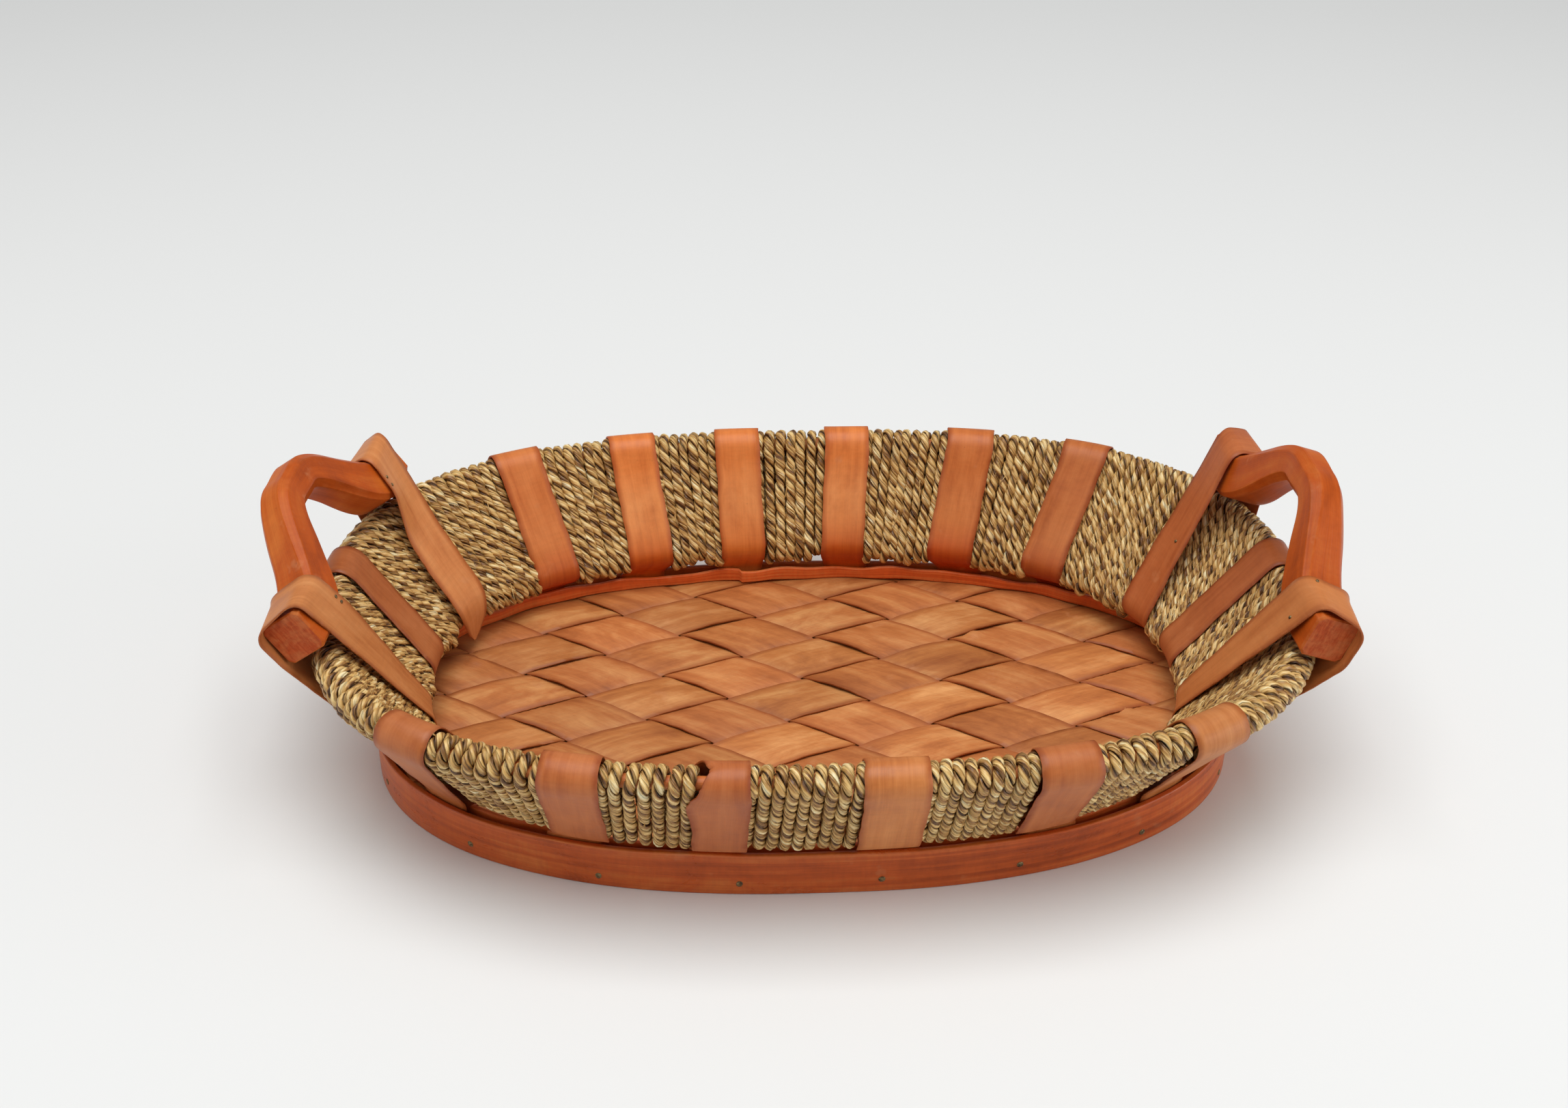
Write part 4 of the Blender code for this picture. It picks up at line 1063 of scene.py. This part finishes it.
handles = {
    "left": BowHandle(-1, 0.016, 0.0023, 35.5, 6.7, -0.3, "handle_left"),
    "right": BowHandle(1, 0.003, 0.0053, 19.7, -3.4, 2.4, "handle_right"),
}
handle_stains = (paint(146, 58, 12), paint(186, 82, 20), paint(206, 110, 42))
end_stains = (paint(156, 60, 22), paint(188, 76, 28), paint(204, 98, 46))
end_grain = wood("handle_end_grain", end_stains, 3.0, streaks=(0.006, 0.0012), rough=(0.5, 0.65),
                 rubbed_and_highlit=0.8, scuffed=1.0, cloud_share=0.3, fibre_share=0.5, sheen=0.2)
for name, handle in handles.items():
    spans = np.linspace(-HANDLE_HALF_LENGTH, HANDLE_HALF_LENGTH, 130)
    ends = [handle.carved_ring(span, END_BEVEL_DEPTH) for span in (spans[0], spans[-1])]
    spans[0] += END_BEVEL_LENGTH
    spans[-1] -= END_BEVEL_LENGTH
    rings = np.array([ends[0], *[handle.carved_ring(span) for span in spans], ends[1]])
    grain = lay_grain(walk(rings.mean(axis=1)), walk(np.vstack((rings[60], rings[60][:1]))))
    bow = make_piece(f"handle_{name}_bow", rings, grain, sharp=20)
    fit_piece(bow, wood(f"handle_{name}_stain", handle_stains, 30 + handle.side, streaks=(0.16, 0.006),
                        rough=(0.34, 0.5), cloud_share=0.6, fibre_share=0.2, sheen=0.2),
              f"handle_{name}")
    bow.data.materials.append(end_grain)
    for face in bow.data.polygons[-2:]:
        face.material_index = 1
        for corner in face.loop_indices:
            away = np.array(bow.data.vertices[bow.data.loops[corner].vertex_index].co) - handle.centre
            bow.data.uv_layers["grain"].data[corner].uv = (away @ handle.rise, away @ handle.face)

# Handle straps. Narrower veneer bands, two to a handle, bent over the foot and the rim together and
# bradded to the foot. The inner run of the left handle's far strap has torn off and curls loose.
STRAP_WIDTH = 0.0205
STRAP_REACH = 0.0595
FOOT_EASE = 0.0026
LOOSE_INSET_SHARES = (0.196, 0.206, 0.211, 0.219, 0.167, 0.074, -0.017)
LOOSE_HEIGHT_SHARES = (0.93, 0.77, 0.643, 0.555, 0.46, 0.36, 0.263)
LOOSE_WIDTH_SHARES = (1, 1, 1, 0.97, 0.85, 0.55, 0.08)


def loose_end(share, slip):
    """The torn strap's free end, which hangs inside the wall and narrows to a splinter."""
    wall = Wall(share)
    points = []
    for inset, height, width in zip(LOOSE_INSET_SHARES, LOOSE_HEIGHT_SHARES, LOOSE_WIDTH_SHARES):
        on_wall = wall.low[0] + wall.along * ((RIM_HEIGHT * height - LOWER_HEIGHT) / wall.along[2])
        points.append(on_wall - wall.low[2] * inset * RIM_HEIGHT + wall.low[1] * slip * width)
    return np.array(points)


strap_stains = {
    ("left", "near"): (200, 126, 70), ("left", "far"): (208, 130, 72),
    ("right", "near"): (194, 116, 60), ("right", "far"): (184, 98, 48),
}
strap_sheets = {}
for k, ((side_name, end_name), colour) in enumerate(strap_stains.items()):
    handle = handles[side_name]
    torn = (side_name, end_name) == ("left", "far")
    foot = handle.middle(-STRAP_REACH if end_name == "near" else STRAP_REACH)
    share = rim_line.shares[np.argmin(np.linalg.norm((rim_line.line - foot)[:, :2], axis=1))]
    strap, middles, facing, _ = belt_sheet(
        f"strap_{side_name}_{end_name}", share, STRAP_WIDTH, 200 + 11 * k, rows=220, handle=handle,
        loose_at=(lambda slip: loose_end(share, slip)) if torn else None, easing=6)
    strap_sheets[side_name, end_name] = (middles, facing)
    stains = stain_range(colour, (0.87, 0.78, 0.7), (1.06, 1.13, 1.22))
    fit_piece(strap, wood(f"strap_{side_name}_{end_name}_stain", stains, 50 + 1.9 * k,
                          streaks=(0.08, 0.0035), rough=(0.4, 0.56), rubbed_and_highlit=0.3, relief=0.00015,
                          cloud_share=0.6, fibre_share=0.2, half_width=STRAP_WIDTH / 2),
              f"handle_strap_{side_name}_{end_name}")

# Brads. Small round-headed pins, dulled to a greenish brown: one row round the base hoop, driven into
# the ledge, and one or two smaller ones in each handle strap.
BRAD_HEAD_RADIUS = 0.0014
STRAP_BRAD_RADIUS = 0.0008
BRAD_HEAD_RISE = 0.0005
BRAD_BED = 0.0001
BASE_BRADS = 17
BASE_BRAD_START = 0.012
BASE_BRAD_SPACING = 0.0588
BASE_BRAD_HEIGHT = 0.006
BASE_BRAD_STRAY = 0.0008
aged_metal, tree, surface = new_material("aged_brad_metal")
patina = noise(tree, scaled_place(tree, 900.0), 3.0, 0.6)
patinas = ((0.35, paint(70, 52, 34)), (0.5, paint(112, 92, 60)), (0.65, paint(150, 130, 90)))
tree.links.new(shades(tree, patina, patinas), surface["Base Color"])
tree.links.new(spread(tree, patina, 0.3, 0.7, 0.55, 0.35), surface["Roughness"])
surface["Metallic"].default_value = 0.6


def brad(name, point, facing, seed, head_radius=BRAD_HEAD_RADIUS):
    """A domed head and a short shank along the way it faces."""
    facing = unit(np.asarray(facing, float))
    side = unit(np.cross(facing, up if abs(facing[2]) < 0.9 else np.array([1.0, 0, 0])))
    other = np.cross(facing, side)
    profile = ((0.35, -2.2), (0.35, -0.3), (0.9, -0.25), (1.0, 0.0), (0.95, 0.35), (0.72, 0.7),
               (0.35, 0.93), (0.06, 1.0))
    turns = circle(14)
    uneven = 1 + 0.05 * np.sin(2 * turns + seed)
    rings = np.array([[point + facing * BRAD_HEAD_RISE * rise
                       + (side * math.cos(turn) + other * math.sin(turn)) * head_radius * radius * wide
                       for turn, wide in zip(turns, uneven)] for radius, rise in profile])
    grain = lay_grain(np.arange(len(profile)) * 0.0005, np.arange(15) * 0.0005)
    return fit_piece(make_piece(name, rings, grain, sharp=60), aged_metal)


for k in range(BASE_BRADS):
    share = (BASE_BRAD_START + k * BASE_BRAD_SPACING) % 1
    height = BASE_BRAD_HEIGHT + BASE_BRAD_STRAY * math.sin(5 * k)
    point, _, outward = base_line.at(np.array([share]), height)
    brad(f"base_brad_{k + 1}", point[0] - outward[0] * BRAD_BED, outward[0], k)

# The brads of the straps: where each is along its strap, past the crest, and in which column of it.
STRAP_BRADS = {
    ("right", "far"): ((0.053, 3),), ("right", "near"): ((0.0161, 2), (-0.0021, 7)),
    ("left", "far"): ((0.012, 7), (0.016, 7)), ("left", "near"): ((0.0148, 1), (0.0181, 1)),
}
for (side_name, end_name), spots in STRAP_BRADS.items():
    middles, facing = strap_sheets[side_name, end_name]
    walked = walk(middles[:, 4])
    crest = walked[np.argmax(middles[:, 4, 2])]
    for k, (past_crest, column) in enumerate(spots):
        row = np.argmin(np.abs(walked - crest - past_crest))
        way = facing[row, column] * (1 if facing[len(facing) // 2, 4][2] > 0 else -1)
        point = middles[row, column] + way * (VENEER_THICKNESS / 2 + BRAD_BED / 2)
        brad(f"strap_brad_{side_name}_{end_name}_{k + 1}", point, way, k, STRAP_BRAD_RADIUS)

# Table and light. The tray stands on a plain pale floor under one broad soft lamp, with two weak ones
# low at the sides and even light from all round, as in a bright room.
FLOOR_SIZE = 12
ROOM_LIGHT = 0.3
bpy.ops.mesh.primitive_plane_add(size=FLOOR_SIZE, location=(0, 0, 0))
floor = bpy.context.object
floor.name = "pale_floor"
pale, _, surface = new_material("pale_floor")
surface["Base Color"].default_value = paint(232, 233, 232)
surface["Roughness"].default_value = 0.9
floor.data.materials.append(pale)

world = bpy.data.worlds.new("room")
world.use_nodes = True
background = world.node_tree.nodes["Background"].inputs
background["Color"].default_value = (1, 1, 1, 1)
background["Strength"].default_value = ROOM_LIGHT
bpy.context.scene.world = world
for name, location, turn, size, power in (
        ("soft_lamp_above", (-0.1, -0.25, 2.35), (6, -3, 0), 2.0, 50),
        ("soft_lamp_left", (-1.5, -0.4, 0.3), (0, -80, 15), 1.0, 3),
        ("soft_lamp_right", (1.5, -0.4, 0.3), (0, 80, -15), 1.0, 9)):
    lamp_data = bpy.data.lights.new(name, "AREA")
    lamp_data.size = size
    lamp_data.energy = power
    lamp = bpy.data.objects.new(name, lamp_data)
    lamp.location = location
    lamp.rotation_euler = [math.radians(angle) for angle in turn]
    bpy.context.collection.objects.link(lamp)

camera_data = bpy.data.cameras.new("photo_camera")
camera_data.sensor_width = 36
camera_data.lens = 45.47
camera = bpy.data.objects.new("photo_camera", camera_data)
camera.location = (-0.04047, -0.71073, 0.5426)
camera.rotation_euler = (1.007588, -0.005073, -0.043797)
bpy.context.collection.objects.link(camera)
bpy.context.scene.camera = camera
bpy.context.scene.view_settings.view_transform = "Standard"
